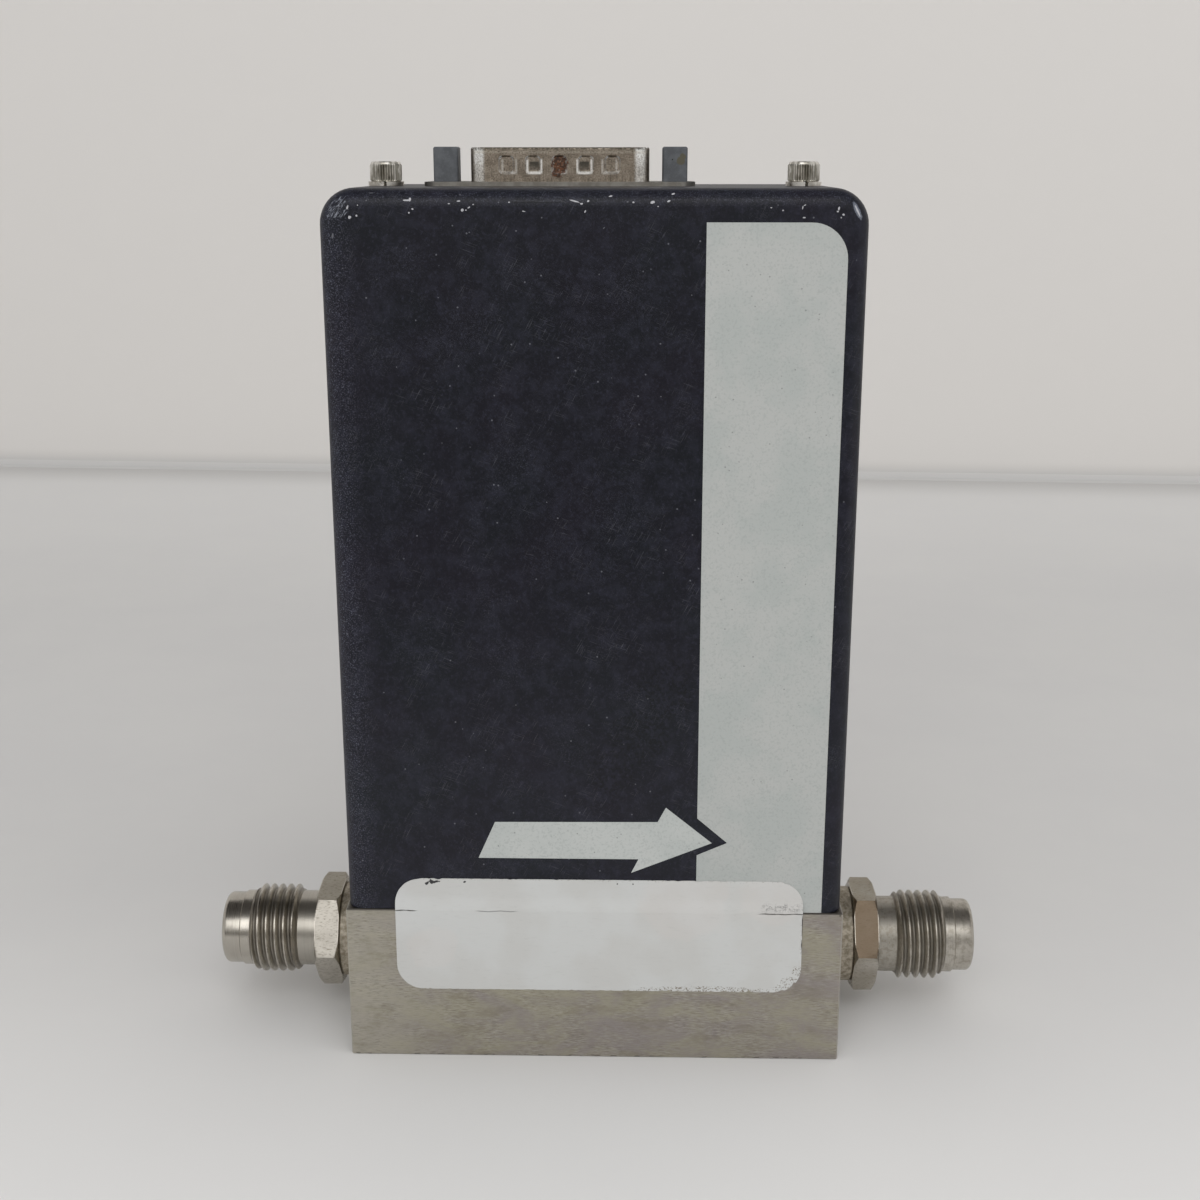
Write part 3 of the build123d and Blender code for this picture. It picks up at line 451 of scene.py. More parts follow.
def plated_shell():
    """Dulled tin-plated connector shell, with painted highlights at its corners and dimples, painted shade in two
    dimples, one rusted.
    """
    f = Finish("plated_shell_finish")
    cloud = f.noise(1.4, 4.0, 0.6)
    colour = f.blend(cloud.rise(0.40, 0.62), paint(176, 164, 150), paint(150, 139, 126))
    fine = f.noise(0.20, 3.0, 0.75)
    colour = f.blend(fine.rise(0.51, 0.62) * 0.70, colour, paint(88, 80, 68))
    colour = f.blend(fine.fall(0.32, 0.44) * 0.60, colour, paint(220, 212, 196))
    streak = f.noise(0.40, 3.0, 0.6, at=f.stretch(1.6, 1.6, 0.16)).rise(0.50, 0.64)
    colour = f.blend(streak * f.z.fall(133.4, 135.0) * 0.45, colour, paint(92, 84, 74))
    # painted highlight down the rounded corners (the worn mask), brighter towards the top and made less metallic
    # there
    reach = abs(f.x - SHELL_X)
    worn = abs(f.facing()[0]).band(0.24, 0.78, 0.12) * (0.45 + fine.fall(0.42, 0.58) * 0.55)
    worn = worn * (0.65 + f.z.rise(134.6, 136.2) * 0.35)
    colour = f.blend(worn, colour, paint(252, 252, 249))
    # five dimples: a painted highlight at the sides and the foot, painted shade in the hearts of two, the middle
    # one rusted
    turn = f.node("ShaderNodeMath", {"operation": "FRACT"}, {0: (f.x - SHELL_X) / DIMPLE_PITCH + 0.5})
    aside = abs(turn - 0.5) * DIMPLE_PITCH
    above = f.z - DIMPLE_Z
    row = reach.fall(8.9, 9.1) * f.y.fall(0.0, 1.0)
    sides = aside.band(0.86, 1.16, 0.06) * above.band(-1.25, 0.75, 0.2)
    foot = above.band(-1.34, -0.96, 0.06) * aside.fall(0.80, 1.05)
    deep = reach.band(2.2, 5.0, 0.1)
    dimple_highlight = (sides * 0.85).most(foot) * row * fine.fall(0.54, 0.72) * (0.45 + deep * 0.55)
    colour = f.blend(dimple_highlight * 0.95, colour, paint(250, 248, 243))
    dimple_shade = aside.fall(0.58, 0.78) * above.band(-0.72, 0.42, 0.12) * deep * row
    dimple_shade = dimple_shade * (0.55 + above.rise(-0.8, 0.4) * 0.45)
    colour = f.blend(dimple_shade * 0.92, colour, paint(46, 44, 36))
    rust = f.spots(((SHELL_X, DIMPLE_Z, 1.25, 1.40, 0), (SHELL_X - 0.4, 134.2, 0.80)), 1.3, 0.4)
    grains = f.noise(0.24, 2.0, 0.7).rise(0.30, 0.42) * f.y.fall(0.0, 1.0)
    browns = f.blend(f.noise(0.32, 2.0).rise(0.44, 0.56), paint(104, 62, 36), paint(54, 34, 22))
    colour = f.blend(rust * grains * 0.95, colour, browns)
    below = SHELL_HIGH.z - f.z
    # a painted sheen in a band just under the top
    colour = f.blend(below.band(0.50, 0.85, 0.12) * fine.fall(0.46, 0.60) * 0.5, colour, paint(216, 208, 194))
    rim = below.fall(0.12, 0.52) * f.noise(0.26, 2.0).rise(0.40, 0.52)
    colour = f.blend(rim * 0.85, colour, paint(60, 57, 42))
    # the flange is duller and mottled
    flange = f.z.fall(132.90, 132.96)
    colour = f.blend(flange, colour, f.blend(cloud.rise(0.34, 0.66), paint(168, 165, 159), paint(148, 144, 137)))
    # its ends painted darker than the rest of the flange
    ends = flange * reach.rise(17.6, 18.6)
    colour = f.blend(ends * 0.75, colour, paint(70, 68, 66))
    metal = 1 - (rust * grains).most(rim * 0.6).most(dimple_shade * 0.8).most(worn).most(dimple_highlight * 0.7) * 0.8
    rough = 0.30 + cloud * 0.14 + streak * 0.06 + (rust * grains).most(flange * 0.4) * 0.4 + rim * 0.2
    return f.surface(Base_Color=colour, Metallic=metal, Roughness=rough, Normal=f.relief(fine, 0.012))


def knurled_steel():
    """Socket head screws, with painted shade between the ridges of their knurled heads."""
    f = Finish("knurled_steel_finish")
    middle = (SCREWS_LOW.x + SCREWS_HIGH.x) / 2
    local = abs(f.x - middle) - ((SCREWS_HIGH.x - SCREWS_LOW.x) / 2 - HEAD_R)
    radius = (local * local + f.y * f.y) ** 0.5
    angle = f.node("ShaderNodeMath", {"operation": "ARCTAN2"}, {0: f.y, 1: local})
    streak = f.noise(0.30, 3.0, 0.6, at=f.vector(angle, f.z * 0.12, radius * 0.2))
    colour = f.blend(streak.rise(0.40, 0.62), paint(236, 233, 226), paint(168, 164, 153))
    # painted shade in the grooves between the knurl's ridges
    groove_shade = radius.fall(2.10, 2.27) * f.z.band(SCREWS_HIGH.z - 2.62, SCREWS_HIGH.z - 0.55, 0.05)
    colour = f.blend(groove_shade * radius.rise(1.9, 2.0) * 0.46, colour, paint(92, 90, 80))
    return f.surface(Base_Color=colour, Metallic=1.0, Roughness=0.22 + streak * 0.2, Normal=f.relief(streak, 0.02))


def phosphated_steel():
    """Dull grey jack posts, one stained olive brown."""
    f = Finish("phosphated_steel_finish")
    cloud = f.noise(1.2, 3.0)
    colour = f.blend(cloud.rise(0.35, 0.65), paint(104, 107, 111), paint(90, 93, 97))
    fine = f.noise(0.20, 2.0)
    colour = f.blend(fine.rise(0.55, 0.75) * 0.4, colour, paint(128, 131, 134))
    stain = f.spots(((POSTS_HIGH.x - 1.0, 135.8, 0.62), (POSTS_HIGH.x - 0.7, 136.4, 0.45)), 0.8, 0.5)
    colour = f.blend(stain * 0.75, colour, paint(100, 94, 72))
    colour = f.blend(f.spots(((POSTS_HIGH.x - 2.2, 136.0, 0.10),), 0.2, 0.2), colour, paint(24, 22, 20))
    rough = 0.52 + fine * 0.15 + stain * 0.1
    return f.surface(Base_Color=colour, Metallic=0.35, Roughness=rough, Normal=f.relief(fine, 0.015))


# ---------------------------------------------------------------- finishes in families
def metal(name, light, dark, rough, grain=0.4, stretch=(1.0, 1.0, 1.0), depth=0.006, stain=None):
    """A worked metal: grain drawn along one axis, clouds of tone, a stain where it has one."""
    f = Finish(name + "_finish")
    drawn = f.noise(grain, 3.0, 0.6, at=f.stretch(*stretch))
    cloud = f.noise(grain * 8, 3.0)
    colour = f.blend(cloud.rise(0.35, 0.65), paint(*light), paint(*dark))
    colour = f.blend(drawn.rise(0.52, 0.74) * 0.4, colour, paint(*dark))
    if stain:
        colour = f.blend(f.noise(grain * 4, 4.0, 0.7).rise(0.58, 0.68) * 0.6, colour, paint(*stain))
    return f.surface(
        Base_Color=colour,
        Metallic=1.0,
        Roughness=rough + drawn * 0.15,
        Normal=f.relief(drawn, depth),
    )


def moulded(name, base, other, rough, grain=0.25, depth=0.008, stretch=(1.0, 1.0, 1.0)):
    """A moulded, dipped or wrapped insulator with a fine surface."""
    f = Finish(name + "_finish")
    fine = f.noise(grain, 3.0, 0.6, at=f.stretch(*stretch))
    cloud = f.noise(grain * 14, 3.0)
    colour = f.blend(cloud.rise(0.35, 0.65), paint(*base), paint(*other))
    dust = f.noise(grain * 2, 2.0, 0.7).rise(0.60, 0.72)
    colour = f.blend(dust * 0.18, colour, paint(150, 148, 144))
    return f.surface(
        Base_Color=colour,
        Roughness=rough + fine * 0.18,
        Normal=f.relief(fine, depth),
    )


def winding(name, light, dark, pitch):
    """Enamelled wire laid turn by turn: ridges at the wire's pitch up the coil."""
    f = Finish(name + "_finish")
    phase = f.node("ShaderNodeMath", {"operation": "FRACT"}, {0: f.z / pitch})
    turn = 1 - abs(phase - 0.5) * 2
    cloud = f.noise(2.0, 3.0)
    colour = f.blend(cloud.rise(0.35, 0.65), paint(*light), paint(*dark))
    # painted shade between the turns
    colour = f.blend(turn.fall(0.1, 0.4) * 0.8, colour, paint(58, 26, 14))
    return f.surface(
        Base_Color=colour,
        Metallic=0.8,
        Roughness=0.26 + cloud * 0.12,
        Normal=f.relief(turn.rise(0.0, 0.9), 0.05),
    )


def circuit_board():
    """Glass-epoxy board: solder mask over faint tracks and cloth, bare pads between."""
    f = Finish("board_green_finish")
    cloud = f.noise(9, 2.0)
    colour = f.blend(cloud.rise(0.35, 0.65), paint(22, 78, 46), paint(18, 66, 42))
    weave = f.noise(0.35, 1.0, at=f.stretch(1.0, 0.3, 1.0))
    tracks = f.cells(2.6, at=f.stretch(1.0, 0.05, 0.45), feature="DISTANCE_TO_EDGE").fall(0.10, 0.13)
    colour = f.blend(tracks * 0.6, colour, paint(40, 104, 58))
    pads = f.cells(5.3, at=f.stretch(1.0, 0.05, 1.0)).fall(0.07, 0.09)
    colour = f.blend(pads, colour, paint(190, 186, 176))
    texture = f.relief(weave + tracks * 2.0, 0.01)
    return f.surface(Base_Color=colour, Metallic=pads, Roughness=0.34 + weave * 0.15, Normal=texture)


FINISHES = {
    "stainless_block": stainless_block(),
    "stainless_turned": stainless_turned(),
    "stainless_inner": metal("stainless_inner", (206, 202, 195), (182, 178, 172), 0.18, 0.3, (1, 1, 3)),
    "seal_rubber": moulded("seal_rubber", (24, 24, 25), (30, 30, 31), 0.55, 0.2),
    "sintered_steel": metal("sintered_steel", (150, 146, 140), (96, 92, 87), 0.55, 0.12, depth=0.04),
    "steel_screws": metal("steel_screws", (188, 187, 182), (150, 149, 145), 0.26, 0.3, (1, 1, 4),
                          stain=(164, 150, 110)),
    "steel_cap_screws": knurled_steel(),
    "washer_steel": metal("washer_steel", (240, 237, 230), (192, 187, 178), 0.28, 0.25, stain=(104, 88, 68)),
    "enamelled_copper": winding("enamelled_copper", (176, 84, 40), (148, 66, 32), 0.22),
    "sensor_can_alloy": metal("sensor_can_alloy", (192, 190, 184), (164, 162, 157), 0.30, 0.5, (1, 1, 0.2)),
    "ribbon_film": moulded("ribbon_film", (176, 108, 38), (156, 92, 30), 0.22, 0.4),
    "magnetic_steel": metal("magnetic_steel", (178, 176, 172), (148, 146, 142), 0.24, 0.2, (1, 1, 4)),
    "spring_steel": metal("spring_steel", (160, 160, 162), (120, 120, 124), 0.20, 0.2),
    "bobbin_plastic": moulded("bobbin_plastic", (214, 208, 192), (204, 196, 178), 0.42),
    "yoke_steel": metal("yoke_steel", (172, 168, 140), (150, 146, 124), 0.32, 0.5, stain=(140, 116, 70)),
    "bracket_alloy": metal("bracket_alloy", (198, 199, 200), (172, 173, 175), 0.34, 0.5, (0.1, 1, 1)),
    "board_green": circuit_board(),
    "chip_black": moulded("chip_black", (30, 30, 32), (38, 38, 40), 0.50),
    "capacitor_sleeve": moulded("capacitor_sleeve", (26, 38, 84), (22, 32, 70), 0.32),
    "trimmer_blue": moulded("trimmer_blue", (28, 84, 158), (24, 74, 142), 0.36),
    "trimmer_brass": metal("trimmer_brass", (204, 170, 96), (170, 138, 72), 0.24, 0.15, (3, 1, 1)),
    "header_black": moulded("header_black", (26, 26, 28), (33, 33, 35), 0.46),
    "lead_insulation": moulded("lead_insulation", (168, 40, 34), (150, 34, 30), 0.36, 0.3),
    "plated_shell": plated_shell(),
    "gold_pins": metal("gold_pins", (232, 190, 108), (206, 162, 84), 0.16, 0.2, (1, 1, 0.4)),
    "phosphated_steel": phosphated_steel(),
    "cover_paint": cover_paint(),
    "label_paper": label_paper(),
}

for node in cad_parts.values():
    for place in node.material_slots:
        place.material = FINISHES[place.material.name.split(".")[0]]


# ---------------------------------------------------------------- making pieces
def add_piece(name, shape, material, sharp=30.0, body="housing"):
    """A mesh piece from a bmesh in metres, riding on a body if it is given one."""
    bmesh.ops.recalc_face_normals(shape, faces=shape.faces)
    mesh = bpy.data.meshes.new(name)
    shape.to_mesh(mesh)
    shape.free()
    mesh.shade_smooth()
    mesh.set_sharp_from_angle(angle=math.radians(sharp))
    mesh.materials.append(material)
    piece = bpy.data.objects.new(name, mesh)
    bpy.context.scene.collection.objects.link(piece)
    if body:
        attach(piece, body)
    return piece


def skin(shape, rings, lap=0):
    """Join rings of points into a surface. A helix's last column meets the first, lap rings on."""
    made = [[shape.verts.new(point * MM) for point in ring] for ring in rings]
    last = len(made) - 1
    for row in range(last):
        shifted = [made[min(max(row + step + lap, 0), last)][0] for step in (0, 1)]
        near = made[row] + [shifted[0]]
        far = made[row + 1] + [shifted[1]]
        for column in range(len(made[row])):
            corners = (near[column], near[column + 1], far[column + 1], far[column])
            if len(set(corners)) == 4:
                shape.faces.new(corners)


def weld(shape):
    """Merge points that meet and drop the faces that vanish."""
    bmesh.ops.remove_doubles(shape, verts=shape.verts, dist=2e-7)
    bmesh.ops.dissolve_degenerate(shape, edges=shape.edges, dist=1e-7)


def thicken(shape, faces, thickness):
    """Give a sheet that faces the front a back, a thickness in millimetres behind it."""
    made = bmesh.ops.extrude_face_region(shape, geom=faces)["geom"]
    moved = [item for item in made if isinstance(item, bmesh.types.BMVert)]
    bmesh.ops.translate(shape, verts=moved, vec=Vector((0.0, thickness * MM, 0.0)))


# ---------------------------------------------------------------- end fittings with a cut thread
COLUMNS = 144
PITCH = 25.4 / 18
THREAD_CREST = 7.145
THREAD_ROOT = 6.30
RELIEF = 6.1
HEX_HALF = 15.875 / 2
THREAD_FULL_IN, THREAD_FULL_OUT = 49.6, 56.0
SPIGOT_IN, SPIGOT_R = 31.5, 7.1
GROOVE_IN, GROOVE_OUT, GROOVE_R = 34.2, 36.4, 5.7
NECK_R = 7.65
NOSE_IN, NOSE_R, NOSE_EDGE = 58.3, 5.8, 0.8
BORE_R = 2.3
SEAT_DEPTH, BEAD_R = 0.35, 3.6  # of the sealing face, with its raised bead
FRONT_ANGLE = 153  # the side that the camera sees, in degrees from +Y
# radius of the thread along one pitch, starting on a crest
THREAD_FORM = (
    (0.00, THREAD_CREST), (0.06, THREAD_CREST), (0.09, THREAD_CREST - 0.04), (0.20, 6.86), (0.32, 6.50),
    (0.40, THREAD_ROOT + 0.04), (0.46, THREAD_ROOT), (0.54, THREAD_ROOT), (0.60, THREAD_ROOT + 0.04),
    (0.68, 6.50), (0.80, 6.86), (0.91, THREAD_CREST - 0.04), (0.94, THREAD_CREST),
)


def hexagon(angle):
    """Radius of a hexagon of half-width 1, a flat facing angle 0."""
    return 1 / math.cos((angle + math.pi / 6) % (math.pi / 3) - math.pi / 6)


def fitting(node, side, crest_at, flat_at):
    """One end fitting. A crest is crest_at mm out where it faces the front, a flat is turned to flat_at."""
    flat = math.radians(flat_at)
    angles = [flat + 2 * math.pi * column / COLUMNS for column in range(COLUMNS)]
    front = math.radians(FRONT_ANGLE)

    def point(reach, radius, angle):
        return Vector((side * reach, radius * math.cos(angle), FLOW_Z + radius * math.sin(angle)))

    def plain(reach, radius):
        return [point(reach, radius, angle) for angle in angles]

    def hex_ring(reach, limit):
        return [point(reach, min(limit, HEX_HALF * hexagon(angle - flat)), angle) for angle in angles]

    def cut_back(reach):
        """The turned ends of the thread."""
        rise = RELIEF + (THREAD_CREST - RELIEF) * (reach - THREAD_IN) / (THREAD_FULL_IN - THREAD_IN)
        drop = RELIEF + (THREAD_CREST - RELIEF) * (THREAD_OUT - reach) / (THREAD_OUT - THREAD_FULL_OUT)
        return min(rise, drop, THREAD_CREST)

    shape = bmesh.new()
    body = [plain(SPIGOT_IN, SPIGOT_R - 0.5), plain(SPIGOT_IN + 0.5, SPIGOT_R), plain(GROOVE_IN, SPIGOT_R)]
    body += [plain(GROOVE_IN, GROOVE_R), plain(GROOVE_OUT, GROOVE_R), plain(GROOVE_OUT, SPIGOT_R)]
    body += [plain(BLOCK_HIGH.x, SPIGOT_R), plain(BLOCK_HIGH.x, NECK_R)]
    body += [plain(HEX_IN - 0.25, NECK_R), plain(HEX_IN, NECK_R - 0.2)]
    chamfer = [(0.0, 8.25), (0.10, 8.45), (0.20, 8.65), (0.32, 8.87), (0.44, 9.1), (0.55, 9.25)]
    body += [hex_ring(HEX_IN + step, limit) for step, limit in chamfer]
    body += [hex_ring(HEX_OUT - step, limit) for step, limit in reversed(chamfer)]
    body += [plain(HEX_OUT, 6.6), plain(HEX_OUT + 0.3, RELIEF), plain(THREAD_IN - 0.4, RELIEF)]
    body += [plain(THREAD_IN, RELIEF)]
    skin(shape, body)
    # the thread winds right-handed on both ends
    lead = side * PITCH / (2 * math.pi)
    start = crest_at - lead * front
    start -= PITCH * math.ceil((start - THREAD_IN) / PITCH + 2.5)
    turns = math.ceil((THREAD_OUT - start) / PITCH + 2.5)
    helix = []
    for turn in range(turns + 1):
        for step, radius in THREAD_FORM:
            ring = []
            for angle in angles:
                reach = start + (turn + step) * PITCH + lead * angle
                reach = min(max(reach, THREAD_IN), THREAD_OUT)
                ring.append(point(reach, min(radius, cut_back(reach)), angle))
            helix.append(ring)
    skin(shape, helix, len(THREAD_FORM) * side)
    nose = [plain(THREAD_OUT, RELIEF), plain(NOSE_IN, RELIEF), plain(NOSE_IN + 0.2, NOSE_R)]
    for step in range(7):
        turned = math.radians(15 * step)
        reach = FITTING_END - NOSE_EDGE * (1 - math.sin(turned))
        nose.append(plain(reach, NOSE_R - NOSE_EDGE * (1 - math.cos(turned))))
    nose += [plain(FITTING_END, 4.7), plain(FITTING_END - SEAT_DEPTH, 4.4)]
    for step in range(9):
        turned = math.pi * step / 8
        nose.append(plain(FITTING_END - SEAT_DEPTH + 0.3 * math.sin(turned), BEAD_R + 0.42 * math.cos(turned)))
    nose += [plain(FITTING_END - SEAT_DEPTH, BORE_R + 0.2), plain(FITTING_END - 0.5, BORE_R)]
    nose += [plain(SPIGOT_IN, BORE_R), plain(SPIGOT_IN, SPIGOT_R - 0.5)]
    skin(shape, nose)
    weld(shape)
    piece = add_piece(node + "_threaded", shape, FINISHES["stainless_turned"], 28)
    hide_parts(node)


fitting("inlet_fitting", -1, 55.27, 154.8)
fitting("outlet_fitting", 1, 55.09, 149.0)


# ---------------------------------------------------------------- knurled cap screws
KNURLS = 36
PER_KNURL = 4
KNURL_DEPTH = 0.24
HEAD_HEIGHT = 2.84
SHANK_R = 1.42
SOCKET_HALF = 1.19


def cap_screws():
    """Two socket head screws, knurled heads, in one piece."""
    angles = [2 * math.pi * step / (KNURLS * PER_KNURL) for step in range(KNURLS * PER_KNURL)]
    base = SCREWS_HIGH.z - HEAD_HEIGHT
    shape = bmesh.new()
    for centre in (SCREWS_LOW.x + HEAD_R, SCREWS_HIGH.x - HEAD_R):

        def ring(height, radius, cut=0.0, hexed=False):
            points = []
            for step, angle in enumerate(angles):
                groove = cut * abs((step % PER_KNURL) - PER_KNURL / 2) / (PER_KNURL / 2)
                here = radius * hexagon(angle) if hexed else radius - groove
                points.append(Vector((centre + here * math.cos(angle), here * math.sin(angle), height)))
            return points

        top = SCREWS_HIGH.z
        rings = [ring(SCREWS_LOW.z, 0.0), ring(SCREWS_LOW.z, 1.1), ring(SCREWS_LOW.z + 0.3, SHANK_R)]
        rings += [ring(base, SHANK_R), ring(base, HEAD_R - 0.2), ring(base + 0.10, HEAD_R - 0.12)]
        rings += [ring(base + 0.22, HEAD_R, KNURL_DEPTH), ring(base + 2.30, HEAD_R, KNURL_DEPTH)]
        rings += [ring(base + 2.44, HEAD_R - 0.13), ring(base + 2.70, HEAD_R - 0.20), ring(top, HEAD_R - 0.45)]
        rings += [ring(top, 1.46), ring(top - 0.12, 1.36), ring(top - 0.16, SOCKET_HALF, hexed=True)]
        rings += [ring(top - 1.3, SOCKET_HALF, hexed=True), ring(top - 1.5, 0.6), ring(top - 1.5, 0.0)]
        skin(shape, rings)
    weld(shape)
    piece = add_piece("knurled_cap_screws", shape, FINISHES["steel_cap_screws"], 24)
    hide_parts("cover_screws")


cap_screws()


# ---------------------------------------------------------------- the plunger's spring
WIRE = 0.3
COIL_R = 2.0
COILS = 4
COIL_STEPS = 48
WIRE_SIDES = 12


def closing_coil():
    """Round wire wound into a coil, its end turns laid closer."""
    low, high = box_mm("plunger_spring")
    foot, head = low.z + WIRE, high.z - WIRE
    axis = (low.x + high.x) / 2
    last = COILS * COIL_STEPS
    shape = bmesh.new()
    rings = []
    for step in range(last + 1):
        along = step / last
        angle = 2 * math.pi * step / COIL_STEPS
        height = foot + (head - foot) * (along * 0.6 + along * along * (3 - 2 * along) * 0.4)
        ring = []
        for side in range(WIRE_SIDES):
            turned = 2 * math.pi * side / WIRE_SIDES
            reach = COIL_R + WIRE * math.cos(turned)
            ring.append(Vector((axis + reach * math.cos(angle), reach * math.sin(angle),
                                height + WIRE * math.sin(turned))))
        rings.append(ring)
    skin(shape, rings)
    ends = [edge for edge in shape.edges if edge.is_boundary]
    bmesh.ops.holes_fill(shape, edges=ends, sides=WIRE_SIDES)
    piece = add_piece("closing_coil", shape, FINISHES["spring_steel"], 40, body=None)
    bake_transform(piece)
    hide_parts("plunger_spring")


closing_coil()


# ---------------------------------------------------------------- paper seal
PAPER = 0.17  # from the metal to the front of the paper
PAPER_THICK = 0.14
ROWS_BELOW = 9  # of faces under the joint
JOINT_Z = BLOCK_HIGH.z
SPLIT_LEFT = -26.8  # the paper is split outside these
SPLIT_RIGHT = 24.95
LABEL_CORNER = 4.1
STEP_CROSSED = 2.4  # height over which the paper crosses the step from block to cover


def paper_seal():
    """The seal: a sheet laid over the step, split at both ends, its edges nibbled."""
    left, right = LABEL_LOW.x, LABEL_HIGH.x
    low, high = LABEL_LOW.z, LABEL_HIGH.z
    front_low, front_high = LABEL_LOW.y, COVER_FRONT - PAPER
    arc = [LABEL_CORNER * (1 - math.cos(math.radians(step * 6))) for step in range(1, 15)]
    middle = left + LABEL_CORNER
    columns = [left] + [left + step for step in arc]
    while middle < right - LABEL_CORNER:
        columns.append(middle)
        middle += 0.22
    columns += [right - step for step in reversed(arc)] + [right]

    def inset(x):
        """How far the rounded corner takes the edge in at x."""
        beyond = max(left + LABEL_CORNER - x, x - right + LABEL_CORNER, 0.0)
        return LABEL_CORNER - math.sqrt(max(LABEL_CORNER**2 - beyond**2, 0.0))

    def nibble(x, z, depth, size):
        """Ragged bites, deepest where the noise peaks."""
        return depth * max(0.0, noise.noise(Vector((x / size, z / size, 3.7))) - 0.08) * 2.2

    def face_y(z):
        """The front of the paper, bridging the step between block and cover."""
        blend = min(max((z - JOINT_Z + 0.10) / STEP_CROSSED, 0.0), 1.0)
        blend = blend * blend * (3 - 2 * blend)
        return front_low + (front_high - front_low) * blend

    def split(x):
        """Half the gap of the split at x."""
        tear = 0.05 * noise.noise(Vector((x * 1.3, 0.0, 9.1)))
        wide = min(max(SPLIT_LEFT - x, x - SPLIT_RIGHT, 0.0) * 0.10, 0.09)
        return max(wide + (tear if wide else 0.0), 0.0)

    shape = bmesh.new()
    strips = []
    for x in columns:
        torn_low = 0.40 if x > 27.5 else (0.24 if x > 5 else 0.10)
        bottom = low + inset(x) + nibble(x, low, torn_low, 0.45)
        top = high - inset(x) - nibble(x, high, 0.10, 0.8)
        gap = split(x)
        wander = 0.10 * noise.noise(Vector((x * 0.6, 4.0, 0.0)))
        joint = JOINT_Z - 0.05 + wander
        below = joint - gap - bottom
        heights = [bottom + below * step / ROWS_BELOW for step in range(ROWS_BELOW + 1)]
        bridge = min(STEP_CROSSED + 0.2, 0.6 * (top - joint))
        heights += [joint + gap + (bridge - gap) * step / 6 for step in range(7)]
        heights += [joint + bridge + (top - joint - bridge) * step / 4 for step in range(1, 5)]
        strip = []
        for z in heights:
            edge = nibble(z * 1.7, x, 0.16, 0.6) if x > right - 0.01 else 0.0
            strip.append(shape.verts.new(Vector((x - edge, face_y(z), z)) * MM))
        strips.append((strip, gap))
    for (near, near_gap), (far, far_gap) in zip(strips, strips[1:]):
        for row in range(len(near) - 1):
            if row == ROWS_BELOW and (near_gap > 0 or far_gap > 0):
                continue
            shape.faces.new((near[row], far[row], far[row + 1], near[row + 1]))
    thicken(shape, shape.faces[:], PAPER_THICK)
    piece = add_piece("paper_seal", shape, FINISHES["label_paper"], 40)
    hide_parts("seal_label")


paper_seal()


# ---------------------------------------------------------------- print on the cover's front
INK = 0.03  # ink stands this proud of the paint
PANEL_LEFT, PANEL_RIGHT, PANEL_TOP = 15.5, 34.85, 127.75
PANEL_CORNER = 5.0
NOTCH = ((15.6, 40.4), (20.15, 36.45), (15.6, 34.4))
ARROW = (
    (-14.9, 39.55), (9.65, 39.75), (10.87, 42.1), (17.85, 36.4), (5.7, 31.4), (6.8, 33.65), (-17.5, 33.65),
)


def printed(name, outline, ink):
    """A flat field of ink on the cover's front, from an outline of x, z points."""
    shape = bmesh.new()
    front = [shape.verts.new(Vector((x, COVER_FRONT - INK, z)) * MM) for x, z in outline]
    thicken(shape, [shape.faces.new(front)], INK + 0.05)
    bmesh.ops.triangulate(shape, faces=shape.faces)
    add_piece(name, shape, ink, 30)


rounded = []
for step in range(13):
    turned = math.radians(90 * step / 12)
    rounded.append((PANEL_RIGHT - PANEL_CORNER * (1 - math.sin(turned)),
                    PANEL_TOP - PANEL_CORNER * (1 - math.cos(turned))))
panel = [(PANEL_LEFT, PANEL_TOP)] + rounded
panel += [(PANEL_RIGHT - 0.1, COVER_LOW.z), (PANEL_LEFT + 0.1, COVER_LOW.z)] + list(reversed(NOTCH))
printed("silver_panel", panel, silver_ink("panel_ink", (173, 175, 172), (167, 171, 168)))
printed("flow_arrow", ARROW, silver_ink("arrow_ink", (182, 185, 182), (176, 180, 177)))


# ---------------------------------------------------------------- studio
def placed(name, shape, finish):
    """A mesh of the studio, from a bmesh in metres."""
    mesh = bpy.data.meshes.new(name)
    shape.to_mesh(mesh)
    shape.free()
    mesh.materials.append(finish)
    made = bpy.data.objects.new(name, mesh)
    bpy.context.scene.collection.objects.link(made)
    return made


WALL_Y = 464.0  # the wall behind the middle of the part
WALL_SLANT = 0.054  # how much nearer it comes per mm of x


def card_finish():
    """Pale card, the wall a little lighter than the floor."""
    f = Finish("studio_card_finish")
    cloud = f.noise(60, 4.0, 0.6)
    floor = f.blend(cloud.rise(0.35, 0.65) * 0.5, paint(205, 204, 202), paint(201, 200, 199))
    # painted light: the floor lighter in front of the part and towards the wall
    edges = f.y.fall(-130, 60).most(f.y.rise(200, 450) * 0.45)
    floor = f.blend(edges, floor, paint(235, 234, 232))
    colour = f.blend(f.z.rise(1.0, 6.0), floor, paint(224, 221, 217))
    # the seam between them is shaded
    seam = (f.y + f.x * WALL_SLANT).rise(WALL_Y - 42, WALL_Y - 1) * f.z.fall(0.0, 9.0)
    colour = f.blend(seam * 0.50, colour, paint(174, 172, 169))
    return f.surface(Base_Color=colour, Roughness=0.55 + cloud * 0.1, Specular_IOR_Level=0.20)


def floor_and_wall():
    """Pale floor turned up into a pale wall behind the part."""
    ends = (-3.0, 3.0)
    shape = bmesh.new()
    rows = [[shape.verts.new((x, ends[0], 0.0)) for x in ends]]
    for back, z in ((-3.0, 0.0), (-0.9, 0.9), (0.0, 3.0), (0.0, 1600.0)):
        rows.append([shape.verts.new((x, (WALL_Y + back) * MM - x * WALL_SLANT, z * MM)) for x in ends])
    for low, high in zip(rows, rows[1:]):
        shape.faces.new((low[0], low[1], high[1], high[0]))
    placed("studio_card", shape, card_finish())


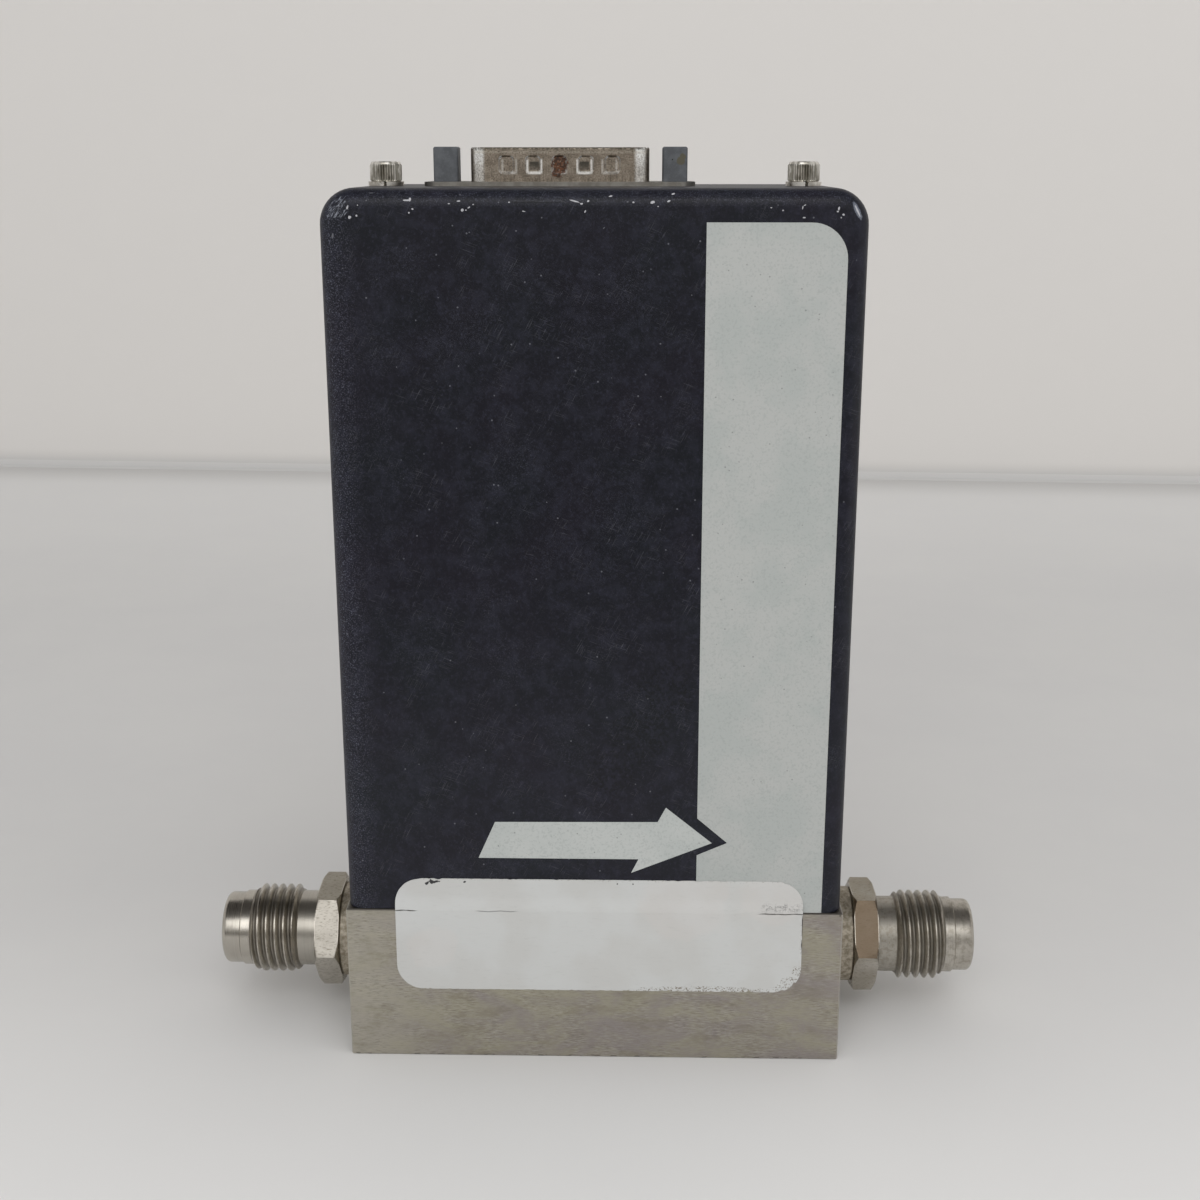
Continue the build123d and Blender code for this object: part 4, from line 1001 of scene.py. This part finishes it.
def aimed(at, target, roll=0.0):
    """The turn that points an object's back along -Z to the target, rolled in degrees."""
    straight = (Vector(target) - Vector(at)).to_track_quat("-Z", "Y")
    return (straight @ Quaternion((0.0, 0.0, 1.0), math.radians(roll))).to_euler()


def lamp(name, at, target, width, depth, power, roll=0.0):
    """A soft rectangular lamp, aimed."""
    data = bpy.data.lights.new(name, "AREA")
    data.shape = "RECTANGLE"
    data.size, data.size_y = width, depth
    data.energy = power
    made = bpy.data.objects.new(name, data)
    made.location = at
    made.rotation_euler = aimed(at, target, roll)
    bpy.context.scene.collection.objects.link(made)
    return made


def dark_card(name, corners, grey):
    """A dark card that only reflections see, as used to shape the shine on metal."""
    shape = bmesh.new()
    shape.faces.new([shape.verts.new(corner) for corner in corners])
    f = Finish(name + "_finish")
    card = placed(name, shape, f.surface(Base_Color=paint(*grey), Roughness=0.9))
    card.visible_camera = False
    card.visible_diffuse = False
    card.visible_shadow = False


floor_and_wall()
above = ((-0.9, -0.62, 0.8), (0.9, -0.62, 0.8), (0.9, 0.46, 0.8), (-0.9, 0.46, 0.8))
dark_card("ceiling_card", above, (74, 72, 70))
before = ((-0.3, -0.2, 0.002), (0.3, -0.2, 0.002), (0.4, -0.5, 0.125), (-0.4, -0.5, 0.125))
dark_card("front_card", before, (100, 97, 92))
lamp("key_softbox", (-0.03, -0.84, 0.75), (0.0, 0.0, 0.04), 0.98, 0.56, 2.7, 30.0)
lamp("front_fill", (0.26, -0.85, 0.72), (0.0, 0.0, 0.04), 2.1, 1.3, 3.4).visible_glossy = False
lamp("overhead_fill", (0.40, -0.05, 1.00), (0.0, 0.0, 0.0), 1.8, 1.6, 2.0).visible_glossy = False

world = bpy.data.worlds.new("studio_air")
bpy.context.scene.world = world
air = Wiring(world)
seen = air.node("ShaderNodeLightPath", output="Is Camera Ray")
seen = seen.most(air.node("ShaderNodeLightPath", output="Is Glossy Ray"))
ambient = air.node("ShaderNodeBackground", sockets={"Color": (0.65, 0.65, 0.66, 1.0)})
backdrop = air.node("ShaderNodeBackground", sockets={"Color": paint(200, 198, 195)})
both = air.node("ShaderNodeMixShader", sockets={0: seen, 1: ambient, 2: backdrop})
air.node("ShaderNodeOutputWorld", sockets={"Surface": both})

# ---------------------------------------------------------------- camera
CAMERA_AT = Vector((6.02, -242.46, 135.91))
CAMERA_DOWN = 15.37  # degrees below level
CAMERA_TURN = 1.295  # degrees to the left
camera_data = bpy.data.cameras.new("camera")
camera_data.sensor_width = 36.0
camera_data.lens = 48.0
camera_data.clip_start = 0.01
camera = bpy.data.objects.new("camera", camera_data)
camera.location = CAMERA_AT * MM
camera.rotation_euler = (math.radians(90 - CAMERA_DOWN), 0.0, math.radians(CAMERA_TURN))
bpy.context.scene.collection.objects.link(camera)
bpy.context.scene.camera = camera
bpy.context.scene.view_settings.view_transform = "Standard"
